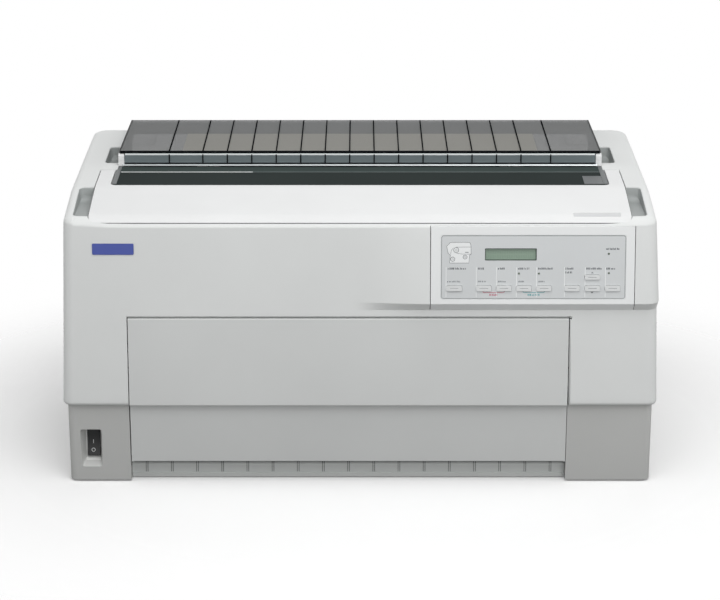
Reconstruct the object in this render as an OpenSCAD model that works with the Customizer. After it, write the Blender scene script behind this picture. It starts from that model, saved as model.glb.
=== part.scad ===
// Wide-carriage dot matrix printer for continuous forms.
// Millimetres. Origin at the middle of the footprint on the table, +X to the right, front towards -Y, +Z up.

/* [Housing] */
// Overall width, at the foot of the upper housing
body_w = 700; // [660:1:760]
// Overall depth, from the lip of the control panel to the rear wall
body_d = 382; // [370:1:420]
// Height of the joint between lower case and upper housing
shell_z = 99; // [92:1:106]
// Thickness of the moulded walls
wall = 3; // [2:0.5:4]
// Height of the housing where its top changes slope
knee_z = 340.3; // [336:0.1:350]
// Distance of that change of slope behind the panel's lip
knee_back = 107; // [95:1:125]
// Slope of the top in front of the knee, degrees
front_slope = 9.35; // [7:0.05:11]
// Slope of the top behind the knee, degrees
rear_slope = 1.75; // [1:0.05:2.5]
// Backward lean of the front face, degrees
front_lean = 1.6; // [0.5:0.1:3]
// Inward draft of the side walls, degrees
side_draft = 1.6; // [0.5:0.1:3]
// Radius of the front vertical corners
corner_r = 13; // [13:1:32]
// Radius of the rear vertical corners
rear_corner_r = 20; // [14:1:26]
// Radius of the upper front edge
edge_r = 11; // [8:0.5:12]
// Radius of the upper side and rear edges
side_edge_r = 8; // [5:0.5:10]
// How far the lower case stands back from the housing at the sides
case_step = 5; // [3:0.5:9]

/* [Lower case] */
// Height of the moulded floor above the table
foot_h = 1.5; // [1:0.5:4]
// Width of the left leg, which holds the power switch
left_leg_w = 72.5; // [62:0.5:80]
// Width of the right leg
right_leg_w = 100.5; // [90:0.5:115]
// Radius of the lower case's vertical corners
case_corner_r = 8; // [6:1:20]
// Radius of each rubber foot
foot_r = 12; // [9:1:16]

/* [Covers] */
// Width of the housing beside the top cover
lid_border = 35; // [32:1:42]
// Distance of the top cover's front edge behind the panel's lip
lid_back = 12.8; // [12:0.2:18]
// Depth of the paper eject cover
eject_d = 181; // [170:1:190]
// Gap all round each cover
cover_gap = 0.6; // [0.4:0.1:1]
// Width of the top cover's arms beside the window
arm_w = 19.8; // [18:0.2:30]
// Distance of the window's front edge behind the panel's lip
window_back = 113; // [109:1:130]
// Height of the eject cover's top above the table
eject_z = 361; // [356:0.5:370]
// Spacing of the paper ribs on the eject cover
rib_pitch = 29.9; // [25:0.1:35]
// Number of paper ribs between the two outer ones
rib_count = 14; // [10:1:16]
// Height of the front cover's upper edge
door_top_z = 206; // [190:1:210]
// Height of the front cover's lower edge
door_foot_z = 26; // [24:1:32]
// Radius of the moulded hinge pins of front and eject cover
hinge_pin_r = 3; // [2.5:0.1:4]
// Radius of the top cover's hinge pins
lid_pin_r = 2; // [1.5:0.1:2.5]
// Radial clearance of a pin in its bore
pin_fit = 0.05; // [0.03:0.01:0.09]

/* [Control panel] */
// Width of the control panel module
panel_w = 236; // [228:1:250]
// Width of the housing beside the control panel module
panel_border = 32; // [30:1:40]
// Height of the panel's projecting lip
lip_z = 226; // [222:1:230]
// Height of the panel's upper edge
panel_top_z = 316.7; // [314:0.1:318]
// Height and width of a push button
button_size = [17.6, 6.4]; // [4:0.1:20]
// Travel of a push button
button_travel = 1; // [0.5:0.1:1.5]
// Gap round a push button
button_gap = 0.3; // [0.2:0.05:0.5]

/* [Print mechanism] */
// Radius of the rubber platen
platen_r = 20; // [16:0.5:21]
// Distance of the platen's axis from the rear wall
platen_back = 173; // [170:0.5:178]
// Height of the platen's axis
platen_z = 262; // [258:1:268]
// Space for gears and belt between each side frame and the housing's side
drive_space = 47.5; // [44:0.5:60]
// Thickness of the sheet steel frames
plate_t = 2.5; // [2:0.25:3]
// Teeth of the platen gear
gear_teeth = 64; // [56:1:66]
// Teeth of the motor pinion
pinion_teeth = 12; // [11:1:14]
// Gear module
gear_module = 1.25; // [1.2:0.01:1.3]
// Space between the carriage at the end of its travel and the side frame
carriage_margin = 50; // [46:1:70]
// Width of the carriage
carriage_w = 56; // [48:1:60]
// Radius of the belt pulleys that move the carriage
pulley_r = 12; // [10:0.5:13]
// Radius of the carriage's guide rod
rod_r = 8; // [6:0.5:9]

/* [Tractors] */
// Spacing of the holes along the edge of the paper
hole_pitch = 12.7; // [12.7:0.1:13.5]
// Pins on one sprocket
sprocket_pins = 8; // [7:1:9]
// Side of the square drive shafts
square_shaft = 8; // [7:0.5:9]
// Distance of each tractor from the middle
tractor_x = 190; // [150:1:200]
// Half of each tractor's travel along its rods
tractor_travel = 35; // [20:1:40]

/* [Hidden] */

$fn = 48;
eps = 0.01;
far = 900;

// Housing outline
half_w = body_w / 2;
rear_y = body_d / 2;
lip_y = -body_d / 2;
knee_y = lip_y + knee_back;
lip_out = 4.5;
foot_y = lip_y + lip_out;
function face_y(z) = foot_y + (z - shell_z) * tan(front_lean);
function side_x(z) = half_w - (z - shell_z) * tan(side_draft);
function top_z(y) = knee_z + (y - knee_y) * tan(y < knee_y ? front_slope : rear_slope);
edge_y = foot_y + (knee_z - 25.3 - shell_z) * tan(front_lean) + edge_r;
edge_z = top_z(edge_y);
flange_w = 5.5;
vent_x = -half_w + 100;
badge_x = [-half_w + 40, -half_w + 88];
badge_z = panel_top_z - 27.2;

// Lower case outline
case_half_w = half_w - case_step;
case_rear_y = rear_y - case_step;
case_front_top_y = foot_y + 6.5;
case_front_foot_y = foot_y + 14.5;
case_wall = wall + 0.5;
floor_z = foot_h + wall;
function case_face_y(z) =
  case_front_foot_y + (case_front_top_y - case_front_foot_y) * z / shell_z;

switch_x = [-case_half_w + 13.6, -case_half_w + 39];
switch_z = [17.3, 67.3];
switch_floor_y = case_face_y(switch_z[0]) + 11;
rocker_x = [switch_x[0] + 7.2, switch_x[0] + 22];
rocker_z = [30.4, 61.5];
rocker_mid_z = (rocker_z[0] + rocker_z[1]) / 2;
rocker_pin_y = switch_floor_y + 6;
inlet_x = -case_half_w + 105;
inlet_z = 46;
ports_x = [case_half_w - 285, case_half_w - 95];
ports_z = [24, 74];
port_spans = [[14, 80], [96, 112], [126, 176]];
foot_stem_r = 4;
foot_row_x = [-case_half_w + 30, case_half_w - 30];
foot_row_y = [case_front_foot_y + 26, case_rear_y - 26];
floor_slot_y = [-60, 30];

// Opening between the legs
bay_x0 = -case_half_w + left_leg_w;
bay_x1 = case_half_w - right_leg_w;
bay_gap = 1;

// Covers
lid_t = wall;
lid_half = half_w - lid_border;
lid_front_y = lip_y + lid_back;
eject_rear_y = rear_y - 1;
eject_front_y = eject_rear_y - eject_d;
lid_rear_y = eject_front_y - 18.5;
lid_corner_r = 6;
strip_y = [lid_front_y + 13.2, lid_front_y + 27.2];
lid_pin_y = lid_rear_y - 3.5;
lid_pin_z = top_z(lid_pin_y) - 3.7;
lid_swing_r = norm([lid_rear_y - lid_pin_y, top_z(lid_rear_y) - lid_pin_z]) + 0.6;
lid_barrel_r = 3.7;
arm_x = lid_half - arm_w;
window_half = arm_x - 0.5;
window_front_y = lip_y + window_back;
window_t = 2.5;
window_corner_r = 7;
eject_half = window_half;
eject_t = 2.5;
skirt_z = eject_z - 12.5;
cap_w = 7.4;
cap_x = eject_half - 3;
eject_pin_y = rear_y - 15;
eject_pin_z = top_z(eject_pin_y) - 6;
eject_skirt_z = top_z(eject_pin_y) - 10;
entry_lip_z = top_z(rear_y) - 33;
door_x0 = bay_x0 + 1.3;
door_x1 = bay_x1 - 0.7;
door_pin_y = case_face_y(33) + 9;
door_pin_z = door_foot_z + 7.5;
door_t = wall;

// Finger pockets: left, right, front and rear edge, depth
pocket_front = [lid_half - 9, lid_half + 18, edge_y - 0.5, knee_y - 2, 18];
pocket_rear = [eject_half - 8, eject_half + 19, eject_front_y + 13, eject_front_y + 91, 18];

// Control panel
panel_x1 = half_w - panel_border;
panel_x0 = panel_x1 - panel_w;
panel_tilt = atan((face_y(panel_top_z) - lip_y) / (panel_top_z - lip_z));
ledge_z = lip_z - 9;
ledge_y = face_y(ledge_z) - 0.4;
panel_t = 3;
bezel_t = 1.2;
bezel_x0 = panel_x0 + 11.9;
bezel_x1 = panel_x1 - 10.5;
bezel_h0 = 6.3;
bezel_h1 = 80.7;
button_row_h = 18.8;
button_up_h = 31.8;
lcd_x = [panel_x0 + 62.5, panel_x0 + 122.5];
lcd_h = [51.3, 65.6];
button_at = [27, 61.4, 84.7, 107.9, 131.2, 163.8, 187.3, 187, 210.8];
lamp_at = [[102, 36], [125.2, 36], [206.2, 36.5], [205.8, 59.2]];

// Print mechanism
platen_y = rear_y - platen_back;
frame_x = half_w - drive_space;
frame_in = frame_x - plate_t;
frame_front_y = case_front_foot_y + 26;
frame_rear_y = case_rear_y - 16.5;
frame_top_z = entry_lip_z + 1;
gear_x0 = frame_x + 2;
gear_t = 7;
gear_r = gear_module * gear_teeth / 2;
pinion_r = gear_module * pinion_teeth / 2;
pinion_angle = -30;
pinion_y = platen_y + (gear_r + pinion_r) * cos(pinion_angle);
pinion_z = platen_z + (gear_r + pinion_r) * sin(pinion_angle);
platen_shaft_r = 6;
platen_half = frame_in - 18;
carriage_travel = frame_in - carriage_margin - carriage_w / 2;
rod_y = platen_y - 68;
rod_z = platen_z - 40;
rail_y = rod_y - 26;
rail_z = rod_z + 34;
rail_r = 5;
belt_y0 = rod_y - 48;
belt_w = 8;
belt_t = 1.5;
belt_z = rod_z + 2;
pulley_x = frame_in - 26;
tractor_belt_x = gear_x0 + gear_t + 3;
tractor_belt_w = 6;
belt_gap = 0.3;
motor_shaft_r = 2.5;

// Tractors
sprocket_r = hole_pitch * sprocket_pins / (2 * PI);
front_shaft = [lip_y + 73, platen_z - 112];
rear_shaft = [rear_y - 63, platen_z + 34];
tractor_rod_r = 5;
tractor_rod_drop = 29;
sprocket_w = 8;
hub_r = 7.5;
tractor_w = 24;
platen_pulley_r = 16;
shaft_pulley_r = platen_pulley_r * sprocket_r / platen_r;
gate_ear = 5.4;
gate_pin_r = 1.5;
guide_half = tractor_x + 41;

// Ribbon cartridge
ribbon_x = carriage_travel + carriage_w / 2 + 16;
ribbon_y = [lip_y + 31, belt_y0 - 12];
ribbon_z = [platen_z + 2, platen_z + 38];
knob_stem_r = 5;
ribbon_knob_x = ribbon_x - 30;
ribbon_knob_y = (ribbon_y[0] + ribbon_y[1]) / 2;

// Points of an arc about [cx, cy]
function arc(cx, cy, r, a0, a1, n = 6) =
  [for (i = [0:n]) let (a = a0 + (a1 - a0) * i / n) [cx + r * cos(a), cy + r * sin(a)]];

// Extrudes an outline drawn in the Y-Z plane along X
module along_x(x0, x1) {
  translate([x0, 0, 0])
    rotate([90, 0, 90])
      linear_extrude(x1 - x0)
        children();
}

// A rod along X
module rod_x(x0, x1, y, z, r, n = 48) {
  translate([x0, y, z])
    rotate([0, 90, 0])
      cylinder(r = r, h = x1 - x0, $fn = n);
}

// A rod along Y
module rod_y_axis(x, y0, y1, z, r, n = 48) {
  translate([x, y0, z])
    rotate([-90, 0, 0])
      cylinder(r = r, h = y1 - y0, $fn = n);
}

module box(x0, x1, y0, y1, z0, z1) {
  translate([x0, y0, z0])
    cube([x1 - x0, y1 - y0, z1 - z0]);
}

// A rectangle with round corners, from circles and squares
module round_rect(x0, x1, y0, y1, r) {
  translate([x0 + r, y0]) square([x1 - x0 - 2 * r, y1 - y0]);
  translate([x0, y0 + r]) square([x1 - x0, y1 - y0 - 2 * r]);
  for (x = [x0 + r, x1 - r], y = [y0 + r, y1 - r])
    translate([x, y]) circle(r);
}

// Local frame of the panel's face: X along the panel, Z up its slope, -Y out of it
module on_panel() {
  translate([0, lip_y, lip_z])
    rotate([-panel_tilt, 0, 0])
      children();
}

// Upper housing

// A disc whose upper edge is rounded
module puck(r, e) {
  rotate_extrude($fn = 32)
    polygon(concat([[0, -e - 1], [r, -e - 1]], arc(r - e, -e, e, 0, 90, 4), [[0, 0]]));
}

// The outer form of the housing, or with an inset the hollow inside it
module housing_form(inset = 0) {
  hull() {
    for (side = [-1, 1]) {
      translate([side * (side_x(edge_z) - corner_r), edge_y - edge_r + corner_r, edge_z - inset])
        puck(corner_r - inset, edge_r - inset);
      translate([side * (side_x(knee_z) - side_edge_r), knee_y, knee_z - side_edge_r])
        sphere(side_edge_r - inset, $fn = 24);
      translate([side * (side_x(knee_z) - rear_corner_r), rear_y - rear_corner_r,
                 top_z(rear_y - rear_corner_r) - inset])
        rotate([rear_slope, 0, 0])
          puck(rear_corner_r - inset, side_edge_r - inset);
      translate([side * (half_w - corner_r), foot_y + corner_r, shell_z + inset])
        mirror([0, 0, 1])
          puck(corner_r - inset, case_step - min(inset, case_step - 1));
      translate([side * (half_w - rear_corner_r), rear_y - rear_corner_r, shell_z + inset])
        mirror([0, 0, 1])
          puck(rear_corner_r - inset, case_step - min(inset, case_step - 1));
    }
  }
}

// The bulge that carries the panel's lip round the right corner
module corner_bulge() {
  x0 = panel_x1 - 8;
  hull() {
    for (level = [[ledge_z, 0.2], [lip_z, lip_out + 2.2], [panel_top_z - 3, 0.1]]) {
      x = side_x(level[0]) + min(level[1] / 2, half_w - side_x(level[0]) - 0.05);
      y = level[0] == lip_z ? lip_y : face_y(level[0]) - level[1];
      translate([x - corner_r, y + corner_r, level[0]])
        cylinder(r = corner_r, h = eps, $fn = 64);
      translate([x0, y, level[0]])
        cube([eps, 20, eps]);
      translate([x - corner_r, rear_y - corner_r - 2, level[0]])
        cylinder(r = corner_r, h = eps, $fn = 32);
      translate([x0, rear_y - 20, level[0]])
        cube([eps, 10, eps]);
    }
  }
}

// The swoosh that grows out of the front face and ends at the panel
module swoosh() {
  stations = [[panel_x0 - 86, 0.02], [panel_x0 - 56, 0.35], [panel_x0 - 26, 0.86],
              [panel_x0 - cover_gap / 2, 1]];
  for (i = [0:len(stations) - 2])
    hull()
      for (s = [stations[i], stations[i + 1]])
        along_x(s[0], s[0] + eps)
          polygon([[face_y(panel_top_z) + 2, panel_top_z],
                   [face_y(panel_top_z), panel_top_z],
                   [face_y(lip_z) + (lip_y - face_y(lip_z)) * s[1], lip_z],
                   [face_y(ledge_z) - 0.4 * s[1], ledge_z],
                   [face_y(ledge_z) + 2, ledge_z]]);
}

// Outline of the top cover as seen from above
module lid_plan(grow = 0) {
  round_rect(-lid_half - grow, lid_half + grow, lid_front_y - grow, lid_rear_y + grow,
             lid_corner_r + grow);
  translate([-lid_half - grow, lid_rear_y - 12])
    square([2 * (lid_half + grow), 12 + grow]);
}

// The housing's top in section: its round front edge, the knee and the rear slope
function top_line(depth) =
  concat(arc(edge_y, edge_z - edge_r - depth, edge_r, 180, 90, 4),
         [[knee_y, knee_z - depth], [lid_rear_y + 20, top_z(lid_rear_y + 20) - depth]]);

// The space that the top cover takes up, down to a little below it
module lid_space(depth) {
  intersection() {
    translate([0, 0, shell_z]) linear_extrude(far) lid_plan(cover_gap);
    along_x(-far, far)
      polygon(concat(top_line(depth), [[lid_rear_y + 20, far], [edge_y - edge_r, far]]));
  }
}

// A cup for the fingers: a steep rear wall and a floor that slopes up to the front
module finger_pocket(side, x0, x1, y0, y1, depth) {
  z = top_z(y1);
  r = 6;
  mirror([side < 0 ? 1 : 0, 0, 0])
    intersection() {
      translate([0, 0, z - depth - 10]) linear_extrude(far) round_rect(x0, x1, y0, y1, r);
      along_x(x0, x1)
        polygon(concat([[y0, z + 30], [y0, top_z(y0) - 5]],
                       arc(y1 - r, z - depth + r, r, -90, 0, 4), [[y1, z + 30]]));
    }
}

module pocket_cup(side, x0, x1, y0, y1, depth) {
  mirror([side < 0 ? 1 : 0, 0, 0])
    box(x0 - 2, x1 + 2.5, y0 - 2.5, y1 + 2.5, top_z(y1) - depth - 2.5, top_z(y0) - 2);
}

module pockets() {
  for (side = [-1, 1]) {
    difference() {
      pocket_cup(side, pocket_front[0], pocket_front[1], pocket_front[2], pocket_front[3],
                 pocket_front[4]);
      lid_space(lid_t + 1.5);
      finger_pocket(side, pocket_front[0], pocket_front[1], pocket_front[2], pocket_front[3],
                    pocket_front[4]);
    }
    difference() {
      pocket_cup(side, pocket_rear[0], pocket_rear[1], pocket_rear[2], pocket_rear[3],
                 pocket_rear[4]);
      box(-eject_half - cover_gap, eject_half + cover_gap, 0, rear_y, eject_skirt_z - 2, far);
      finger_pocket(side, pocket_rear[0], pocket_rear[1], pocket_rear[2], pocket_rear[3],
                    pocket_rear[4]);
    }
  }
}

// Bosses that hold the hinge pins of the top cover and the eject cover
module hinge_bosses() {
  for (side = [-1, 1])
    mirror([side < 0 ? 1 : 0, 0, 0]) {
      box(lid_half + cover_gap, lid_half + 8, lid_pin_y - 7, lid_pin_y + 7, lid_pin_z - 6,
          lid_pin_z + 2);
      box(eject_half + cover_gap, eject_half + 8, eject_pin_y - 8, eject_pin_y + 8,
          eject_pin_z - 8, eject_pin_z + 4);
    }
}

module upper_housing() {
  color("#dfe2e1")
    difference() {
      union() {
        difference() {
          union() {
            housing_form();
            corner_bulge();
            swoosh();
          }
          housing_form(wall);
          // The foot's flange stands on the lower case
          translate([0, 0, shell_z - 1])
            linear_extrude(wall + 2)
              round_rect(-half_w + wall + flange_w, half_w - wall - flange_w,
                         foot_y + wall + flange_w, rear_y - wall - flange_w, 10);
          // Openings of the top cover and the eject cover
          lid_space(lid_t + cover_gap);
          box(-eject_half - cover_gap, eject_half + cover_gap, lid_rear_y, far, entry_lip_z, far);
          // Opening of the control panel
          box(panel_x0 - cover_gap / 2, panel_x1 + cover_gap / 2, -far, lip_y + 40,
              ledge_z, panel_top_z + cover_gap / 2);
          // Opening of the front cover, with a chamfer above it
          box(door_x0 - bay_gap, door_x1 + bay_gap, -far, foot_y + 40, shell_z - 1,
              door_top_z + bay_gap);
          along_x(door_x0 - bay_gap, door_x1 + bay_gap)
            polygon([[face_y(door_top_z) - 1, door_top_z], [face_y(door_top_z) - 1, door_top_z + 4],
                     [face_y(door_top_z) + wall, door_top_z]]);
          // Seat of the small plate
          badge_form(0.3, 0.8);
          // Ventilation slots in the rear wall
          for (i = [0:15])
            box(vent_x + i * 14, vent_x + i * 14 + 7, rear_y - 10, far, shell_z + 41,
                shell_z + 101);
        }
        pockets();
        hinge_bosses();
      }
      finger_cuts();
      for (side = [-1, 1]) {
        // Hollow edge in which the rear corner of the top cover turns
        rod_x(side * (lid_half + arm_x) / 2 - arm_w / 2 - cover_gap,
              side * (lid_half + arm_x) / 2 + arm_w / 2 + cover_gap, lid_pin_y, lid_pin_z,
              lid_swing_r);
        rod_x(side * (lid_half + 3) - 6, side * (lid_half + 3) + 6, lid_pin_y, lid_pin_z,
              lid_pin_r + pin_fit);
        rod_x(side * (eject_half + 3) - 6, side * (eject_half + 3) + 6, eject_pin_y, eject_pin_z,
              hinge_pin_r + pin_fit);
      }
    }
}

module finger_cuts() {
  for (side = [-1, 1]) {
    finger_pocket(side, pocket_front[0], pocket_front[1], pocket_front[2], pocket_front[3],
                  pocket_front[4]);
    finger_pocket(side, pocket_rear[0], pocket_rear[1], pocket_rear[2], pocket_rear[3],
                  pocket_rear[4]);
  }
}

// The small plate on the front, proud of its seat
module badge_form(grow, depth) {
  translate([0, face_y(badge_z), badge_z])
    rotate([-front_lean, 0, 0])
      box(badge_x[0] - grow, badge_x[1] + grow, -depth, depth, -6.5 - grow, 6.5 + grow);
}

module badge_plate() {
  color("#4c5ba8") badge_form(0, 0.8);
}

// Lower case

module case_form(inset = 0, lift = 0) {
  r = case_corner_r - inset;
  rim = 0.5;
  hull()
    for (side = [-1, 1])
      translate([side * (case_half_w - case_corner_r), 0, lift]) {
        translate([0, case_front_top_y + case_corner_r, shell_z - rim])
          cylinder(r = r, h = rim, $fn = 32);
        translate([0, case_front_foot_y + case_corner_r, foot_h])
          cylinder(r = r, h = rim, $fn = 32);
        translate([0, case_rear_y - case_corner_r, foot_h])
          cylinder(r = r, h = shell_z - foot_h, $fn = 32);
      }
}

// The recess in the left leg, wider at its mouth
module switch_recess() {
  hull() {
    box(switch_x[0], switch_x[1], case_front_top_y - 10, case_front_top_y - 9, switch_z[0] - 4,
        switch_z[1] + 1);
    box(rocker_x[0] - 2, rocker_x[1] + 2, switch_floor_y - 1, switch_floor_y, rocker_z[0] - 3,
        rocker_z[1] + 2);
  }
}

module lower_case() {
  color("#abaca9")
    difference() {
      case_form();
      // Hollow of the case, less the inner walls of the legs and the body of the switch recess
      difference() {
        case_form(case_wall, wall);
        box(bay_x0 - case_wall, bay_x0, -far, case_front_foot_y + 60, 0, far);
        box(bay_x1, bay_x1 + case_wall, -far, case_front_foot_y + 60, 0, far);
        box(switch_x[0] - 2, switch_x[1] + 2, -far, rocker_pin_y + 5, switch_z[0] - 3,
            switch_z[1] + 3);
      }
      // Bay between the legs
      box(bay_x0, bay_x1, -far, case_front_foot_y + 24, -1, far);
      switch_recess();
      box(rocker_x[0] - 0.5, rocker_x[1] + 0.5, switch_floor_y - 2, rocker_pin_y + 6,
          rocker_z[0] - 1.5, rocker_z[1] + 0.7);
      rod_x(rocker_x[0] - 3.5, rocker_x[1] + 3.5, rocker_pin_y, rocker_mid_z, 1.5 + pin_fit);
      // Bores of the front cover's hinge pins
      for (x = [bay_x0 - case_wall / 2, bay_x1 + case_wall / 2])
        rod_x(x - 6, x + 6, door_pin_y, door_pin_z, hinge_pin_r + pin_fit);
      // Cut-outs for the mains inlet and the interface panel
      box(inlet_x - 14.2, inlet_x + 14.2, case_rear_y - 10, far, inlet_z - 10.2, inlet_z + 10.2);
      box(ports_x[0] + 4, ports_x[1] - 4, case_rear_y - 10, far, ports_z[0] + 4, ports_z[1] - 4);
      // Seats of the rubber feet
      for (x = foot_row_x, y = foot_row_y)
        translate([x, y, 0]) cylinder(r = foot_stem_r + 0.1, h = 20);
      floor_slots();
    }
}

// Air slots through the floor and the base plate
module floor_slots() {
  for (i = [-6:5])
    box(i * 20 + 6, i * 20 + 14, floor_slot_y[0], floor_slot_y[1], -1, floor_z + 3);
}

module base_plate() {
  color("#b9bdbf")
    difference() {
      union() {
        box(-frame_x, frame_x, case_front_foot_y + 66, case_rear_y - 14, floor_z, floor_z + 2);
        // Upturned rear edge
        box(-frame_x, frame_x, case_rear_y - 16, case_rear_y - 14, floor_z, floor_z + 16);
      }
      floor_slots();
    }
}

module rubber_feet() {
  color("#2b2c2e")
    for (x = foot_row_x, y = foot_row_y)
      translate([x, y, 0]) {
        cylinder(r1 = foot_r - 0.5, r2 = foot_r, h = foot_h);
        cylinder(r = foot_stem_r, h = floor_z);
      }
}

// The ribbed guide under the front cover, where paper is fed in
module paper_entry_strip() {
  y0 = case_front_foot_y + 12;
  top = door_foot_z - 5.4;
  color("#9b9e9c") {
    along_x(bay_x0 + 0.3, bay_x1 - 0.3)
      polygon(concat([[y0 + 12, foot_h], [y0 + 0.6, foot_h], [y0, 7.3], [y0 + 0.8, 7.8]],
                     arc(y0 + 0.8 + 5, top - 5, 5, 180, 90, 4), [[y0 + 12, top]]));
    for (x = [bay_x0 + 13 : 30.6 : bay_x1 - 8])
      along_x(x - 0.6, x + 0.6)
        polygon(concat([[y0 + 11, 8.2], [y0 - 0.6, 8.2]],
                       arc(y0 + 5.4, top - 5, 6, 180, 90, 4), [[y0 + 11, top + 1]]));
  }
}

// Control panel

module control_panel() {
  y_in = lip_y + 22;
  color("#dcdede")
    difference() {
      along_x(panel_x0, panel_x1)
        polygon([[face_y(panel_top_z), panel_top_z], [lip_y, lip_z], [ledge_y, ledge_z],
                 [y_in, ledge_z], [y_in, panel_top_z]]);
      // Open back
      on_panel()
        box(panel_x0 + panel_t, panel_x1 - panel_t, bezel_t + panel_t, 60, bezel_h0 - 1,
            bezel_h1 + 3);
      // Seat of the bezel
      on_panel()
        box(bezel_x0, bezel_x1, -1, bezel_t, bezel_h0, bezel_h1);
      // Holes of buttons, window and lamps
      on_panel() {
        for (i = [0:8]) button_block(i, button_gap, -2, 10);
        box(lcd_x[0], lcd_x[1], -2, 10, lcd_h[0], lcd_h[1]);
        for (p = lamp_at) rod_y_axis(panel_x0 + p[0], -2, 10, p[1], 1.3, 16);
      }
    }
}

function button_h(i) = i == 7 ? button_up_h : button_row_h;

module button_block(i, grow, y0, y1) {
  w = i == 0 ? button_size[0] + 0.8 : button_size[0];
  h = i == 7 ? button_size[1] - 0.8 : button_size[1];
  x = panel_x0 + button_at[i];
  box(x - w / 2 - grow, x + w / 2 + grow, y0, y1, button_h(i) - h / 2 - grow,
      button_h(i) + h / 2 + grow);
}

module panel_bezel() {
  color("#ced0d1")
    on_panel()
      difference() {
        box(bezel_x0 + 0.1, bezel_x1 - 0.1, 0, bezel_t, bezel_h0 + 0.1, bezel_h1 - 0.1);
        for (i = [0:8]) button_block(i, button_gap, -2, 10);
        box(lcd_x[0], lcd_x[1], -2, 10, lcd_h[0], lcd_h[1]);
        for (p = lamp_at) rod_y_axis(panel_x0 + p[0], -2, 10, p[1], 1.3, 16);
      }
}

module lcd_window() {
  color("#82987f")
    on_panel()
      union() {
        box(lcd_x[0] + 0.1, lcd_x[1] - 0.1, 0.8, bezel_t + panel_t + 1, lcd_h[0] + 0.1,
            lcd_h[1] - 0.1);
        box(lcd_x[0] - 4, lcd_x[1] + 4, bezel_t + panel_t, bezel_t + panel_t + 4, lcd_h[0] - 3,
            lcd_h[1] + 3);
      }
}

module indicator_lamps() {
  color("#7d8f6a")
    on_panel()
      for (p = lamp_at) {
        rod_y_axis(panel_x0 + p[0], 0.1, bezel_t + panel_t + 1, p[1], 1.2, 16);
        rod_y_axis(panel_x0 + p[0], bezel_t + panel_t, bezel_t + panel_t + 3, p[1], 2.2, 24);
      }
}

// A push button with a retaining flange behind the panel
module push_button(i) {
  color("#d7d9d9")
    on_panel() {
      button_block(i, 0, -1.6, bezel_t + panel_t + 2);
      button_block(i, 1, bezel_t + panel_t + 0.05, bezel_t + panel_t + 1.6);
    }
}

// Power switch

module power_rocker() {
  z0 = rocker_z[0];
  z1 = rocker_z[1];
  color("#1c1e1f") {
    along_x(rocker_x[0], rocker_x[1])
      polygon([[switch_floor_y + 1, z0 + 1], [switch_floor_y - 3.6, z0],
               [switch_floor_y - 0.6, rocker_mid_z + 1], [switch_floor_y - 0.2, z1],
               [switch_floor_y + 3, z1 - 1], [rocker_pin_y + 3, rocker_mid_z + 5],
               [rocker_pin_y + 3, rocker_mid_z - 5]]);
    rod_x(rocker_x[0] - 3, rocker_x[1] + 3, rocker_pin_y, rocker_mid_z, 1.5);
  }
}

// Top cover

module top_cover() {
  color("#eaebea")
    difference() {
      union() {
        intersection() {
          lid_space(lid_t);
          along_x(-far, far)
            polygon(concat(top_line(0), [[lid_rear_y + 20, shell_z], [edge_y - edge_r, shell_z]]));
          translate([0, 0, shell_z]) linear_extrude(far) lid_plan(0);
        }
        for (side = [-1, 1]) {
          x = side * (lid_half + arm_x) / 2;
          w = (lid_half - arm_x) / 2;
          rod_x(x - w, x + w, lid_pin_y, lid_pin_z, lid_barrel_r);
          rod_x(x - w - (side < 0 ? 6 : 0), x + w + (side > 0 ? 6 : 0), lid_pin_y, lid_pin_z,
                lid_pin_r);
        }
        // Stiffening ribs under the cover
        intersection() {
          lid_space(lid_t + 9);
          union() {
            box(-lid_half + 12, lid_half - 12, strip_y[0] + 1, strip_y[0] + 3, shell_z,
                top_z(strip_y[0]) - 1);
            box(-lid_half + 12, lid_half - 12, window_front_y - 10, window_front_y - 8, shell_z,
                knee_z - 1);
          }
        }
      }
      // Opening of the window, open at the back between the arms
      translate([0, 0, shell_z])
        linear_extrude(far)
          round_rect(-arm_x, arm_x, window_front_y - 0.3, lid_rear_y + 60, window_corner_r);
      // Bare recess on the right
      along_x(lid_half - 68, lid_half - 12.5)
        polygon([[strip_y[0], top_z(strip_y[0]) - 0.5], [strip_y[1], top_z(strip_y[1]) - 0.5],
                 [strip_y[1], far], [strip_y[0], far]]);
    }
}

module cover_window() {
  y0 = window_front_y;
  y1 = eject_front_y - 2;
  color([0.24, 0.27, 0.27, 0.75]) {
    intersection() {
      along_x(-window_half, window_half)
        polygon([[y0, top_z(y0) - 0.6], [y1, top_z(y1) - 1.6], [y1, top_z(y1) - 1.6 - window_t],
                 [y0, top_z(y0) - 0.6 - window_t]]);
      translate([0, 0, shell_z])
        linear_extrude(far)
          round_rect(-window_half, window_half, y0, y1 + 20, window_corner_r);
    }
    // Fixing rim under the cover
    along_x(-window_half + 7, window_half - 7)
      polygon([[y0 - 6, top_z(y0 - 6) - lid_t - 2], [y0 - 6, top_z(y0 - 6) - lid_t],
               [y0, top_z(y0) - lid_t], [y0 + 4, top_z(y0 + 4) - lid_t],
               [y0 + 4, top_z(y0 + 4) - lid_t - 2]]);
  }
}

// Paper eject cover

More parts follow.
